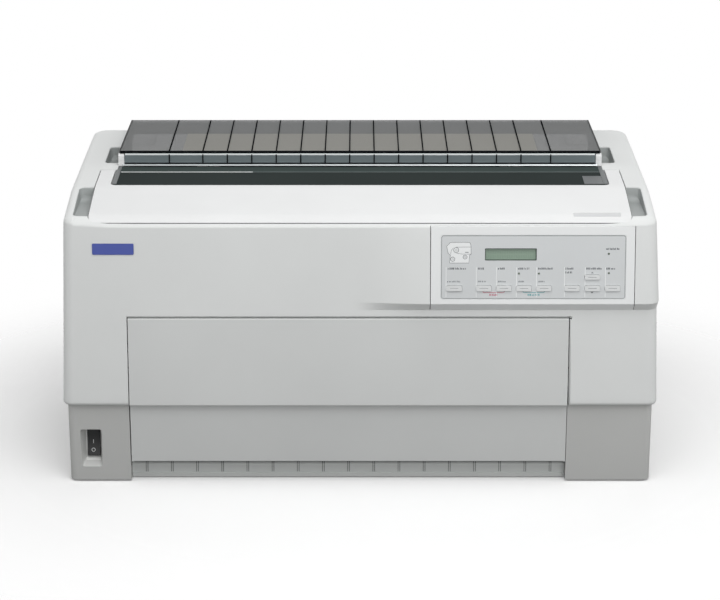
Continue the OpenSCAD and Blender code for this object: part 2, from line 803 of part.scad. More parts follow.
module eject_cover() {
  z1 = eject_z;
  y0 = eject_front_y;
  y1 = eject_rear_y;
  color([0.33, 0.34, 0.34, 0.8])
    difference() {
      union() {
        // Top plate, front skirt and rear skirt as one bent section
        along_x(-eject_half, eject_half)
          polygon([[y0 - 1, skirt_z], [y0, z1 - 2.5], [y0 + 2.5, z1], [y1 - 1.5, z1],
                   [y1, z1 - 1.5], [y1, eject_skirt_z + 4], [y1 - eject_t, eject_skirt_z + 4],
                   [y1 - eject_t, z1 - eject_t], [y0 + 4, z1 - eject_t],
                   [y0 + eject_t, z1 - eject_t - 2], [y0 + eject_t - 1, skirt_z]]);
        // Side walls
        for (side = [-1, 1])
          along_x(side * (eject_half - eject_t / 2) - eject_t / 2,
                  side * (eject_half - eject_t / 2) + eject_t / 2)
            polygon([[y0 - 1, skirt_z], [y0, z1 - 2.5], [y0 + 2.5, z1], [y1 - 1.5, z1],
                     [y1, z1 - 1.5], [y1, eject_skirt_z + 4], [y1 - 6, eject_skirt_z],
                     [y0 + 8, eject_skirt_z], [y0, skirt_z]]);
        // Paper ribs on the top and down the skirt
        for (i = [-1 : rib_count])
          translate([rib_x(i), 0, 0])
            along_x(-0.8, 0.8)
              polygon([[y0 - 1.8, skirt_z + 0.5], [y0 - 0.9, z1 - 2], [y0 + 2, z1 + 1],
                       [y1 - 6, z1 + 1], [y1 - 3, z1 - 0.2], [y0 + 3, z1 - 1],
                       [y0 + 0.6, skirt_z + 0.5]]);
        for (side = [-1, 1])
          rod_x(side * (eject_half + 2.5) - 3.5, side * (eject_half + 2.5) + 3.5, eject_pin_y,
                eject_pin_z, hinge_pin_r);
      }
      // Seats of the end caps
      for (side = [-1, 1])
        box(side * cap_x - cap_w / 2 - 0.3, side * cap_x + cap_w / 2 + 0.3, y0 - 5, y0 + 10,
            skirt_z - 20, far);
    }
}

// The two outer ribs stand apart from the evenly spaced ones
function rib_x(i) =
  i == -1 ? -eject_half + 61.7 : i == rib_count ? eject_half - 61.7
                               : -eject_half + 102.7 + i * rib_pitch;

module tear_bar() {
  y0 = eject_front_y;
  color("#b4b9ba")
    along_x(-cap_x + cap_w / 2 + 0.5, cap_x - cap_w / 2 - 0.5)
      polygon([[y0 - 1, skirt_z], [y0 - 3.2, skirt_z - 1.6], [y0 - 2.6, skirt_z - 3.2],
               [y0 + 2.5, skirt_z - 1.4], [y0 + 2.5, skirt_z]]);
}

module eject_end_caps() {
  y0 = eject_front_y;
  color("#dbdedd")
    for (side = [-1, 1])
      translate([side * cap_x, 0, 0])
        along_x(-cap_w / 2, cap_w / 2)
          polygon(concat(arc(y0 - 0.5 + 3, eject_z - 3, 3.5, 180, 90, 5),
                         [[y0 + 10, eject_z + 0.5], [y0 + 10, skirt_z - 3],
                          [y0 - 1, skirt_z - 3]]));
}

// Front cover

module front_cover() {
  color("#c1c3c2") {
    along_x(door_x0, door_x1)
      polygon([[face_y(door_top_z), door_top_z], [face_y(shell_z + 2), shell_z + 2],
               [face_y(shell_z) + 1, shell_z], [case_face_y(shell_z), shell_z],
               [case_face_y(door_foot_z), door_foot_z],
               [case_face_y(door_foot_z) + door_t, door_foot_z],
               [case_face_y(shell_z) + door_t, shell_z + 3],
               [face_y(shell_z) + door_t, shell_z + 6],
               [face_y(door_top_z) + door_t, door_top_z - door_t],
               [face_y(door_top_z) + 12, door_top_z - door_t],
               [face_y(door_top_z) + 12, door_top_z]]);
    // Side arms that carry the hinge pins
    for (x = [door_x0, door_x1 - door_t])
      along_x(x, x + door_t) {
        polygon([[case_face_y(door_foot_z), door_foot_z], [case_face_y(shell_z), shell_z],
                 [face_y(shell_z) + 1, shell_z], [face_y(door_top_z), door_top_z],
                 [face_y(door_top_z) + 8, door_top_z], [face_y(shell_z) + 12, shell_z],
                 [door_pin_y + 7, door_pin_z + 3], [door_pin_y + 5, door_pin_z - 5],
                 [door_pin_y, door_pin_z - 7]]);
        translate([door_pin_y, door_pin_z]) circle(7);
      }
    rod_x(door_x0 - bay_gap - case_wall, door_x0 + 1, door_pin_y, door_pin_z, hinge_pin_r);
    rod_x(door_x1 - 1, door_x1 + bay_gap + case_wall - 0.5, door_pin_y, door_pin_z, hinge_pin_r);
    // Stiffening ribs inside
    for (x = [door_x0 + 103 : 103 : door_x1 - 60])
      along_x(x, x + 2)
        polygon([[face_y(shell_z) + 1, shell_z + 4], [face_y(door_top_z) + 1, door_top_z - 1],
                 [face_y(door_top_z) + 9, door_top_z - 1], [face_y(shell_z) + 9, shell_z + 4]]);
  }
}

// Rear panel pieces

module ac_inlet() {
  color("#222426")
    difference() {
      union() {
        box(inlet_x - 14, inlet_x + 14, case_rear_y - 26, case_rear_y, inlet_z - 10, inlet_z + 10);
        box(inlet_x - 22, inlet_x + 22, case_rear_y, case_rear_y + 2, inlet_z - 13, inlet_z + 13);
      }
      box(inlet_x - 11.5, inlet_x + 11.5, case_rear_y - 15, far, inlet_z - 7.5, inlet_z + 7.5);
    }
}

module interface_panel() {
  mid = (ports_z[0] + ports_z[1]) / 2;
  color("#a9aeb0") {
    difference() {
      box(ports_x[0], ports_x[1], case_rear_y, case_rear_y + 1.5, ports_z[0], ports_z[1]);
      for (span = port_spans)
        box(ports_x[0] + span[0], ports_x[0] + span[1], case_rear_y - 10, far, mid - 6.5,
            mid + 6.5);
    }
    for (span = port_spans)
      difference() {
        box(ports_x[0] + span[0], ports_x[0] + span[1], case_rear_y - 14, case_rear_y + 1.5,
            mid - 6.5, mid + 6.5);
        box(ports_x[0] + span[0] + 1.5, ports_x[0] + span[1] - 1.5, case_rear_y - 6, far, mid - 5,
            mid + 5);
      }
  }
}

module power_supply() {
  x0 = -frame_in + 20;
  y0 = case_rear_y - 166;
  top = shell_z - 7;
  color("#9aa0a3")
    difference() {
      box(x0, x0 + 150, y0, case_rear_y - 32, floor_z + 2, top);
      for (i = [0:9])
        box(x0 + 10 + i * 13, x0 + 16 + i * 13, y0 + 10, y0 + 100, top - 4, far);
    }
}

module main_board() {
  x1 = frame_in - 30;
  x0 = x1 - 330;
  y0 = case_rear_y - 196;
  y1 = case_rear_y - 22;
  z = floor_z + 8;
  top = z + 1.6;
  color("#2f6b45") {
    box(x0, x1, y0, y1, z, top);
    // Spacers, memory and logic circuits, heat sink
    for (x = [x0 + 8, x1 - 8], y = [y0 + 8, y1 - 8])
      translate([x, y, floor_z + 2]) cylinder(r = 4, h = z - floor_z - 2 + eps);
    for (i = [0:5])
      box(x0 + 30 + i * 46, x0 + 56 + i * 46, y0 + 30, y0 + 54, top - eps, top + 3.4);
    box(x1 - 210, x1 - 40, y1 - 38, y1 - 18, top - eps, top + 18.4);
  }
}

// Frames

module side_frame(side) {
  y0 = frame_front_y;
  y1 = frame_rear_y;
  color("#b3b8bb")
    mirror([side < 0 ? 1 : 0, 0, 0])
      difference() {
        union() {
          along_x(frame_in, frame_x)
            polygon([[y0 + 40, floor_z + 2], [y0, shell_z + 11], [y0, platen_z + 38],
                     [y0 + 12, frame_top_z], [y1, frame_top_z], [y1, floor_z + 2]]);
          // Foot flange, on the base plate
          box(frame_in - 14, frame_x, y0 + 60, y1, floor_z + 2, floor_z + 4.5);
          // Shelf of the ribbon cartridge
          box(ribbon_x - 8, frame_x, ribbon_y[0] + 18, ribbon_y[1] - 6, ribbon_z[0] - plate_t,
              ribbon_z[0]);
          // Tab of the carriage drive
          box(pulley_x - 26, frame_x, belt_y0 - 6, belt_y0 - 4, belt_z - 24, belt_z + 24);
        }
        frame_bores();
        rod_y_axis(pulley_x, belt_y0 - 8, belt_y0 - 2, belt_z, 5);
        // Lightening windows
        box(frame_in - 1, far, platen_y - 58, platen_y + 42, 60, 170);
        box(frame_in - 1, far, platen_y + 72, platen_y + 132, 60, 200);
      }
}

// Holes in the side frames for shafts and rods
module frame_bores() {
  x0 = frame_in - 2;
  x1 = frame_x + 2;
  rod_x(x0, x1, platen_y, platen_z, platen_shaft_r + pin_fit);
  for (s = [front_shaft, rear_shaft]) {
    rod_x(x0, x1, s[0], s[1], square_shaft / 2 - 0.5 + pin_fit);
    rod_x(x0, x1, s[0], s[1] - tractor_rod_drop, tractor_rod_r);
  }
  rod_x(x0, x1, rod_y, rod_z, rod_r);
  rod_x(x0, x1, rail_y, rail_z, rail_r);
  rod_x(x0, x1, pinion_y, pinion_z, 6);
}

module guide_rods() {
  color("#c9ced1") {
    rod_x(-frame_x, frame_x, rod_y, rod_z, rod_r);
    rod_x(-frame_x, frame_x, rail_y, rail_z, rail_r);
    for (s = [front_shaft, rear_shaft])
      rod_x(-frame_x, frame_x, s[0], s[1] - tractor_rod_drop, tractor_rod_r);
  }
}

module front_paper_guide() {
  pts = [[front_shaft[0] + 25, front_shaft[1] + sprocket_r + 0.5],
         [rod_y - 8, rod_z - 36], [platen_y - 50, rod_z - 30], [platen_y - 34, rod_z - 18],
         [platen_y - 27, rod_z + 6]];
  n = len(pts);
  color("#8c9194")
    along_x(-frame_in, frame_in)
      polygon(concat(pts, [for (i = [n - 1 : -1 : 0]) pts[i] + [0.3, -2]]));
}

module rear_paper_guide() {
  r = platen_r + 4;
  top = [rear_shaft[0] - 25, rear_shaft[1] + sprocket_r - 1];
  low = [platen_y + 48, platen_z + 26];
  back = [rear_shaft[0] + 25, rear_shaft[1] + sprocket_r - 1];
  lip = [rear_y - wall - 1, entry_lip_z - 4];
  color("#8f8f8a") {
    // From the rear tractors down behind the platen
    along_x(-guide_half, guide_half)
      polygon(concat([top, low], arc(platen_y, platen_z, r, 20, -60, 6),
                     arc(platen_y, platen_z, r + 2, -60, 20, 6),
                     [low + [2, -2], top + [0, -2]]));
    box(-frame_in, frame_in, low[0] + 4, low[0] + 12, low[1] - 8, low[1] + 1);
    // From the slot in the rear wall to the rear tractors
    along_x(-guide_half, guide_half)
      polygon([lip, back, back + [0, -2], lip + [0, -2]]);
    box(-frame_in, frame_in, back[0] + 5, back[0] + 12, back[1] - 9, back[1] - 1);
  }
}

// Platen and feed

module platen() {
  color("#26282a") rod_x(-platen_half, platen_half, platen_y, platen_z, platen_r, 64);
  color("#c3c8ca") {
    rod_x(-tractor_belt_x - tractor_belt_w - 1, -platen_half + eps, platen_y, platen_z,
          platen_shaft_r);
    rod_x(platen_half - eps, frame_x + 4, platen_y, platen_z, platen_shaft_r);
    rod_x(-tractor_belt_x - tractor_belt_w, -tractor_belt_x, platen_y, platen_z,
          platen_pulley_r - belt_gap);
  }
}

function involute(a) = tan(a) * 180 / PI - a;
function gear_point_angle(r, rb, half_tooth) = half_tooth - involute(acos(min(1, rb / r)));

// A spur gear with involute teeth; its first tooth points along +X
module spur_gear(teeth, m, t, bore) {
  rp = m * teeth / 2;
  rb = rp * cos(20);
  ra = rp + 0.85 * m;
  rf = rp - 1.15 * m;
  half = 90 / teeth * 0.94 + involute(20);
  r0 = max(rb, rf);
  radii = [r0, (r0 + ra) / 2, ra];
  root = rb > rf ? [rf] : [];
  difference() {
    linear_extrude(t)
      polygon([for (i = [0:teeth - 1]) let (a = 360 * i / teeth)
        each [for (p = concat([for (r = root) [r, a - half]],
                              [for (r = radii) [r, a - gear_point_angle(r, rb, half)]],
                              [for (k = [2:-1:0])
                                [radii[k], a + gear_point_angle(radii[k], rb, half)]],
                              [for (r = root) [r, a + half]]))
               [p[0] * cos(p[1]), p[0] * sin(p[1])]]]);
    translate([0, 0, -1]) cylinder(r = bore, h = t + 2);
  }
}

// Puts a gear on the outer side of the left frame, turned by an angle about its axis
module left_gear(y, z, turn) {
  translate([-gear_x0, y, z])
    rotate([0, -90, 0])
      rotate([0, 0, turn])
        children();
}

module platen_gear() {
  color("#d8d6cc")
    left_gear(platen_y, platen_z, 90 - pinion_angle)
      difference() {
        spur_gear(gear_teeth, gear_module, gear_t, platen_shaft_r);
        for (a = [0:60:300])
          rotate([0, 0, a]) translate([gear_r * 0.58, 0, -1]) cylinder(r = gear_r * 0.2, h = 20);
      }
}

module feed_pinion() {
  color("#c9a75a") {
    left_gear(pinion_y, pinion_z, 90 - pinion_angle + 180 + 180 / pinion_teeth)
      spur_gear(pinion_teeth, gear_module, gear_t, 2);
    rod_x(-gear_x0 - gear_t, -frame_in + 8, pinion_y, pinion_z, motor_shaft_r);
  }
}

module feed_motor() {
  color("#3a3d40")
    difference() {
      union() {
        rod_x(-frame_in, -frame_in + 34, pinion_y, pinion_z, 21);
        rod_x(-frame_in - plate_t - 1, -frame_in, pinion_y, pinion_z, 5.5);
      }
      rod_x(-frame_in - 40, -frame_in + 9, pinion_y, pinion_z, motor_shaft_r + pin_fit);
    }
}

// Carriage

module carriage() {
  w = carriage_w / 2;
  color("#43474a")
    difference() {
      union() {
        along_x(-w, w)
          polygon([[rod_y - 34, rod_z - 8], [rod_y - 12, rod_z - 15], [rod_y + 12, rod_z - 15],
                   [rod_y + 22, rod_z - 8], [rod_y + 24, rod_z + 12], [rod_y - 4, rod_z + 12],
                   [rod_y - 20, rod_z + 46], [rod_y - 34, rod_z + 46]]);
        // Belt clamp
        box(-12, 12, belt_y0 - 1, rod_y - 30, belt_z + pulley_r - 4, belt_z + pulley_r + 5);
      }
      rod_x(-far, far, rod_y, rod_z, rod_r + pin_fit);
      rod_x(-far, far, rail_y, rail_z, rail_r + pin_fit);
      box(-far, far, belt_y0 - 2, belt_y0 + belt_w + 0.4, belt_z + pulley_r - 0.4,
          belt_z + pulley_r + belt_t + 0.4);
    }
}

// Print head: finned round body, nose towards the platen
module print_head() {
  y0 = rod_y - 18;
  seat_z = rod_z + 12;
  head_z = platen_z;
  r = head_z - seat_z - 6;
  nose_y = platen_y - platen_r - 1.4;
  color("#5b6063") {
    rod_y_axis(0, rod_y - 2, nose_y - 12, head_z, r - 2, 48);
    for (i = [0:4])
      rod_y_axis(0, rod_y - 2 + i * 5, rod_y + 0.2 + i * 5, head_z, r, 48);
    translate([0, nose_y - 12, head_z])
      rotate([-90, 0, 0])
        cylinder(r1 = r - 3, r2 = 7, h = 8);
    box(-5, 5, nose_y - 6, nose_y, head_z - 11, head_z + 11);
    box(-20, 20, rod_y, rod_y + 22, seat_z, head_z);
  }
}

// Belt drive of the carriage

module pulley(x, bore) {
  difference() {
    union() {
      rod_y_axis(x, belt_y0, belt_y0 + belt_w, belt_z, pulley_r - belt_gap);
      rod_y_axis(x, belt_y0 - 1.5, belt_y0 - 0.3, belt_z, pulley_r + 3);
      rod_y_axis(x, belt_y0 + belt_w + 0.3, belt_y0 + belt_w + 1.5, belt_z, pulley_r + 3);
      rod_y_axis(x, belt_y0 - 0.5, belt_y0 + belt_w + 0.5, belt_z, pulley_r - 1);
    }
    rod_y_axis(x, belt_y0 - 9, belt_y0 + belt_w + 9, belt_z, bore);
  }
}

module drive_pulley() {
  color("#b7bbbd") pulley(-pulley_x, 2.5 + pin_fit);
}

module idler_pulley() {
  color("#b7bbbd") pulley(pulley_x, 4 + pin_fit);
}

module belt_loop(r) {
  translate([-pulley_x, belt_z]) circle(r);
  translate([pulley_x, belt_z]) circle(r);
  translate([-pulley_x, belt_z - r]) square([2 * pulley_x, 2 * r]);
}

module carriage_belt() {
  color("#232323")
    translate([0, belt_y0 + belt_w, 0])
      rotate([90, 0, 0])
        linear_extrude(belt_w)
          difference() {
            belt_loop(pulley_r + belt_t);
            belt_loop(pulley_r);
          }
}

module carriage_motor() {
  color("#3a3d40") {
    rod_y_axis(-pulley_x, belt_y0 - 42, belt_y0 - 6, belt_z, 20);
    rod_y_axis(-pulley_x, belt_y0 - 7, belt_y0 + belt_w + 2, belt_z, 2.5);
  }
  // Post of the idler, on the right frame's tab
  color("#b7bbbd") {
    rod_y_axis(pulley_x, belt_y0 - 4, belt_y0 + belt_w + 2, belt_z, 4);
    rod_y_axis(pulley_x, belt_y0 - 8, belt_y0 - 4 + eps, belt_z, 5);
  }
}

// Ribbon cartridge with its two arms and the inked ribbon between them
module ribbon_cartridge() {
  x1 = ribbon_x;
  y0 = ribbon_y[0];
  y1 = ribbon_y[1];
  z0 = ribbon_z[0];
  tip_y = platen_y - platen_r - 0.9;
  color("#2e3133") {
    difference() {
      box(-x1, x1, y0, y1, z0, ribbon_z[1]);
      for (i = [0:2])
        box(-x1 + 40, x1 - 40, y0 - 1, y0 + 1.5, z0 + 8 + i * 8, z0 + 11 + i * 8);
      translate([ribbon_knob_x, ribbon_knob_y, ribbon_z[1] - 2])
        cylinder(r = knob_stem_r + pin_fit, h = 10);
    }
    for (side = [-1, 1])
      mirror([side < 0 ? 1 : 0, 0, 0])
        translate([0, 0, z0])
          linear_extrude(18)
            polygon([[x1 - 14, y1 - eps], [x1, y1 - eps], [x1, tip_y - 4], [x1 - 6, tip_y],
                     [x1 - 9, tip_y], [x1 - 9, tip_y - 8], [x1 - 12, tip_y - 37]]);
    // The inked ribbon
    box(-x1 + 8, x1 - 8, tip_y - 0.2, tip_y, z0, z0 + 12);
  }
}

module ribbon_knob() {
  color("#3c6fae")
    translate([ribbon_knob_x, ribbon_knob_y, ribbon_z[1]]) {
      translate([0, 0, -1.8]) cylinder(r = knob_stem_r, h = 3);
      difference() {
        translate([0, 0, 0.4]) cylinder(r = 12, h = 7);
        for (a = [0:30:330])
          rotate([0, 0, a]) translate([13, 0, 0]) cylinder(r = 2.2, h = 20);
      }
    }
}

// Tractors

// Square shaft with round ends and the pulley of the tractor belt
module drive_shaft(s) {
  h = square_shaft / 2;
  color("#c9ced1") {
    box(-frame_in + 1, frame_in - 1, s[0] - h, s[0] + h, s[1] - h, s[1] + h);
    rod_x(-tractor_belt_x - tractor_belt_w, frame_x + 3, s[0], s[1], h - 0.5);
    rod_x(-tractor_belt_x - tractor_belt_w, -tractor_belt_x, s[0], s[1],
          shaft_pulley_r - belt_gap);
  }
}

// Sprocket with pins at the paper's hole pitch and a square bore
module sprocket(x, s) {
  h = square_shaft / 2 + 0.08;
  color("#e3e4e0")
    translate([x, s[0], s[1]])
      difference() {
        union() {
          rod_x(-sprocket_w / 2, sprocket_w / 2, 0, 0, sprocket_r - 0.4);
          rod_x(-tractor_w / 2, tractor_w / 2, 0, 0, hub_r);
          for (i = [0:sprocket_pins - 1])
            rotate([i * 360 / sprocket_pins, 0, 0])
              translate([0, 0, sprocket_r - 2])
                cylinder(r1 = 2, r2 = 1.4, h = 4.4, $fn = 16);
        }
        box(-far, far, -h, h, -h, h);
      }
}

// Tractor frame: two cheeks joined below the sprocket, paper rails on top, ears for the gate
module tractor_frame(x, s, side, closed_gate) {
  w = tractor_w / 2;
  slot = sprocket_w / 2 + 1;
  top = sprocket_r + 0.4;
  color("#4a4e50")
    translate([x, s[0], s[1]])
      mirror([side < 0 ? 1 : 0, 0, 0]) {
        difference() {
          along_x(-w, w)
            polygon([[-24, top - 9], [-24, top], [24, top], [24, top - 9],
                     [10, -tractor_rod_drop - 9], [-10, -tractor_rod_drop - 9]]);
          box(-slot, slot, -far, far, -sprocket_r - 3, far);
          rod_x(-far, far, 0, 0, hub_r + pin_fit);
          rod_x(-far, far, 0, -tractor_rod_drop, tractor_rod_r + pin_fit);
        }
        for (y = [-19.5, 15.5])
          difference() {
            box(w - eps, w + gate_ear, y, y + 4, top - 8, top + 4);
            rod_y_axis(w + gate_ear / 2, y - 1, y + 5, top + 1.8, gate_pin_r + pin_fit, 24);
          }
        if (closed_gate)
          gate_plate();
      }
}

// Flap with a slot for the sprocket's pins and a hinge pin along its outer edge
module gate_plate() {
  w = tractor_w / 2;
  top = sprocket_r + 0.4;
  difference() {
    union() {
      box(-w, w - 1.6, -22, 22, top + 0.9, top + 3.1);
      box(w - 2, w + gate_ear / 2, -14.8, 14.8, top + 0.9, top + 3.1);
      rod_y_axis(w + gate_ear / 2, -14.8, 14.8, top + 1.8, 2.2, 24);
      rod_y_axis(w + gate_ear / 2, -19, 19, top + 1.8, gate_pin_r, 24);
    }
    box(-3.4, 3.4, -19, 19, top, top + 9);
  }
}

// Gate that holds the paper's edge on the pins, hinged on its outer side
module tractor_gate(x, s, side) {
  color("#585d60")
    translate([x, s[0], s[1]])
      mirror([side < 0 ? 1 : 0, 0, 0])
        gate_plate();
}

// Angle at which a belt leaves wheel a on its way to wheel b, anticlockwise round the outside
function leave_angle(a, b) =
  atan2(b[1] - a[1], b[0] - a[0]) - acos((a[2] - b[2]) / norm([b[0] - a[0], b[1] - a[1]]));

// Outline of a belt round wheels given as [y, z, radius] in anticlockwise order
function belt_points(wheels, grow) =
  let (n = len(wheels))
  [for (i = [0:n - 1])
    let (w = wheels[i], from = leave_angle(wheels[(i + n - 1) % n], w),
         to = leave_angle(w, wheels[(i + 1) % n]))
      each arc(w[0], w[1], w[2] + grow, from, to < from ? to + 360 : to, 10)];

// Toothed belt that turns both tractor shafts from the platen shaft
module tractor_belt() {
  x = -tractor_belt_x - tractor_belt_w;
  wheels = [[front_shaft[0], front_shaft[1], shaft_pulley_r],
            [rear_shaft[0], rear_shaft[1], shaft_pulley_r],
            [platen_y, platen_z, platen_pulley_r]];
  color("#262626")
    along_x(x, x + tractor_belt_w)
      difference() {
        polygon(belt_points(wheels, 1.4));
        polygon(belt_points(wheels, 0));
      }
}

upper_housing();
lower_case();
base_plate();
rubber_feet();
paper_entry_strip();
side_frame(-1);  // side_frame_left
side_frame(1);  // side_frame_right
control_panel();
panel_bezel();
lcd_window();
indicator_lamps();
badge_plate();
ac_inlet();
interface_panel();
power_supply();
main_board();
front_paper_guide();
rear_paper_guide();
guide_rods();
carriage_belt();
carriage_motor();
feed_motor();
tractor_belt();
top_cover();
cover_window();
eject_cover();
tear_bar();
eject_end_caps();
front_cover();
push_button(0);  // button_select
push_button(1);  // button_font
push_button(2);  // button_pitch
push_button(3);  // button_tear_off
push_button(4);  // button_top_of_form
push_button(5);  // button_load
push_button(6);  // button_feed_down
push_button(7);  // button_feed_up
push_button(8);  // button_pause
power_rocker();
platen();
platen_gear();
feed_pinion();
carriage();
print_head();
drive_pulley();
idler_pulley();
ribbon_cartridge();
ribbon_knob();
drive_shaft(front_shaft);  // front_drive_shaft
tractor_frame(-tractor_x, front_shaft, -1, false);  // front_tractor_left
tractor_frame(tractor_x, front_shaft, 1, false);  // front_tractor_right
sprocket(-tractor_x, front_shaft);  // front_sprocket_left
sprocket(tractor_x, front_shaft);  // front_sprocket_right
tractor_gate(-tractor_x, front_shaft, -1);  // front_gate_left
tractor_gate(tractor_x, front_shaft, 1);  // front_gate_right
drive_shaft(rear_shaft);  // rear_drive_shaft
tractor_frame(-tractor_x, rear_shaft, -1, true);  // rear_tractor_left
tractor_frame(tractor_x, rear_shaft, 1, true);  // rear_tractor_right
sprocket(-tractor_x, rear_shaft);  // rear_sprocket_left
sprocket(tractor_x, rear_shaft);  // rear_sprocket_right
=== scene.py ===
import math

import bmesh
import bpy
import numpy as np
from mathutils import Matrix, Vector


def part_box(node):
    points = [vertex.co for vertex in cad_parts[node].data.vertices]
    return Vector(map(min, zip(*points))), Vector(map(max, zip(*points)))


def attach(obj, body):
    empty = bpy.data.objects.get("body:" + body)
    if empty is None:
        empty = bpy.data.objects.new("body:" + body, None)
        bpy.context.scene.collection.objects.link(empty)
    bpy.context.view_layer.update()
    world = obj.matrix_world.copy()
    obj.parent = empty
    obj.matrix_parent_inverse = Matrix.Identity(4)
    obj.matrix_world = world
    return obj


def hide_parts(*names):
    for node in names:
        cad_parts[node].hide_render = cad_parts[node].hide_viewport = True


# Wide-carriage dot matrix printer. Lengths inside the sections are millimetres, as on the
# drawing, and become metres where a piece is made.
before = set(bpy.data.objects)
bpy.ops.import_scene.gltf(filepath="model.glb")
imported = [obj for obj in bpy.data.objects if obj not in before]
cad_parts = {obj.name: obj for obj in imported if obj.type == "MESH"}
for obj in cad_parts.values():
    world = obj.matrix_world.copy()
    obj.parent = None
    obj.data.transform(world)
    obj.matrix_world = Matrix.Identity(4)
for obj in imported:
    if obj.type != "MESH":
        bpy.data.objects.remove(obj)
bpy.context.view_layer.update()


# Camera
# It stands three metres in front of the printer at the height of a person at a desk, and looks
# down on it 16.5 degrees with a long lens.
SENSOR_WIDTH, FRAME_PIXELS, FOCAL_PIXELS = 36, 720, 2509.3
LOOK_DOWN = 16.5
camera_data = bpy.data.cameras.new("camera")
camera_data.sensor_width = SENSOR_WIDTH
camera_data.lens = SENSOR_WIDTH * FOCAL_PIXELS / FRAME_PIXELS
camera = bpy.data.objects.new("camera", camera_data)
camera.location = (0, -2.9814, 1.0577)
camera.rotation_euler = (math.radians(90 - LOOK_DOWN), 0, 0)
bpy.context.scene.collection.objects.link(camera)
bpy.context.scene.camera = camera


# Studio
# Large soft boxes above, in front, at both sides and behind, and a room that lights the printer
# weakly but looks plain white to the camera, in reflections and through the smoked covers. The
# printer stands on a sheet of pale paper that fades into the room.
def soft_box(name, place, size, watts, aim=(0, 0, 0.2)):
    """A square lamp of that size at place, turned so that its -Z axis points at aim."""
    data = bpy.data.lights.new(name, "AREA")
    data.size = size
    data.energy = watts
    lamp = bpy.data.objects.new(name, data)
    lamp.location = place
    x, y, z = np.subtract(aim, place)
    lamp.rotation_euler = (math.atan2(math.hypot(x, y), -z), 0, math.atan2(-x, y))
    bpy.context.scene.collection.objects.link(lamp)


soft_box("soft_box_top", (0.15, -1.05, 1.75), 1.4, 17)
soft_box("soft_box_front", (0.9, -3.0, 1.0), 1.5, 20, aim=(0.1, -0.2, 0.2))
soft_box("soft_box_left", (-2.2, -0.6, 1.2), 1.5, 9)
soft_box("soft_box_right", (2.2, -0.2, 1.2), 1.5, 9)
soft_box("soft_box_back", (0.2, 1.5, 2.2), 1.2, 6)

# the light that the room throws on the printer, and how bright the room looks itself
ROOM_LIGHT, ROOM_SEEN = 0.26, 1.0
world = bpy.data.worlds.new("room")
bpy.context.scene.world = world
world.use_nodes = True
nodes, links = world.node_tree.nodes, world.node_tree.links
nodes.clear()
path = nodes.new("ShaderNodeLightPath")
seen = nodes.new("ShaderNodeMath")
seen.operation = "ADD"
seen_all = nodes.new("ShaderNodeMath")
seen_all.operation = "ADD"
seen_all.use_clamp = True
fill = nodes.new("ShaderNodeBackground")
fill.inputs["Color"].default_value = (1, 1, 1, 1)
fill.inputs["Strength"].default_value = ROOM_LIGHT
white = nodes.new("ShaderNodeBackground")
white.inputs["Color"].default_value = (1, 1, 1, 1)
white.inputs["Strength"].default_value = ROOM_SEEN
mix = nodes.new("ShaderNodeMixShader")
out = nodes.new("ShaderNodeOutputWorld")
links.new(path.outputs["Is Camera Ray"], seen.inputs[0])
links.new(path.outputs["Is Glossy Ray"], seen.inputs[1])
links.new(seen.outputs[0], seen_all.inputs[0])
links.new(path.outputs["Is Transmission Ray"], seen_all.inputs[1])
links.new(seen_all.outputs[0], mix.inputs[0])
links.new(fill.outputs[0], mix.inputs[1])
links.new(white.outputs[0], mix.inputs[2])
links.new(mix.outputs[0], out.inputs["Surface"])

bpy.context.scene.view_settings.view_transform = "Standard"


def linear(srgb):
    """Colour as the lamps see it: ((c + 0.055) / 1.055) ** 2.4 for each channel of 0..255."""
    c = np.asarray(srgb, float) / 255
    return tuple(np.where(c <= 0.04045, c / 12.92, ((c + 0.055) / 1.055) ** 2.4)) + (1.0,)


# the paper looks near white but throws little light back, and turns clear further out
PAPER_SEEN, PAPER_BOUNCE, PAPER_GLOW = (252, 252, 252), (124, 124, 124), 0.14
FADE_FROM, FADE_TO, PAPER_HALF = 0.36, 0.78, 12
floor_material = bpy.data.materials.new("floor_paper")
floor_material.use_nodes = True
nodes, links = floor_material.node_tree.nodes, floor_material.node_tree.links
shader = nodes["Principled BSDF"]
shader.inputs["Roughness"].default_value = 0.9
shader.inputs["Specular IOR Level"].default_value = 0.0
path = nodes.new("ShaderNodeLightPath")
paper = nodes.new("ShaderNodeMix")
paper.data_type = "RGBA"
paper.inputs[6].default_value = linear(PAPER_BOUNCE)
paper.inputs[7].default_value = linear(PAPER_SEEN)
links.new(path.outputs["Is Camera Ray"], paper.inputs[0])
links.new(paper.outputs[2], shader.inputs["Base Color"])
glow = nodes.new("ShaderNodeMath")
glow.operation = "MULTIPLY"
glow.inputs[1].default_value = PAPER_GLOW
shader.inputs["Emission Color"].default_value = (1, 1, 1, 1)
links.new(path.outputs["Is Camera Ray"], glow.inputs[0])
links.new(glow.outputs[0], shader.inputs["Emission Strength"])
spot = nodes.new("ShaderNodeTexCoord")
far_off = nodes.new("ShaderNodeVectorMath")
far_off.operation = "LENGTH"
fade = nodes.new("ShaderNodeMapRange")
fade.interpolation_type = "SMOOTHSTEP"
fade.inputs["From Min"].default_value = FADE_FROM
fade.inputs["From Max"].default_value = FADE_TO
clear = nodes.new("ShaderNodeBsdfTransparent")
mix = nodes.new("ShaderNodeMixShader")
links.new(spot.outputs["Object"], far_off.inputs[0])
links.new(far_off.outputs["Value"], fade.inputs["Value"])
links.new(fade.outputs["Result"], mix.inputs[0])
links.new(shader.outputs[0], mix.inputs[1])
links.new(clear.outputs[0], mix.inputs[2])
links.new(mix.outputs[0], nodes["Material Output"].inputs["Surface"])
floor_mesh = bpy.data.meshes.new("floor")
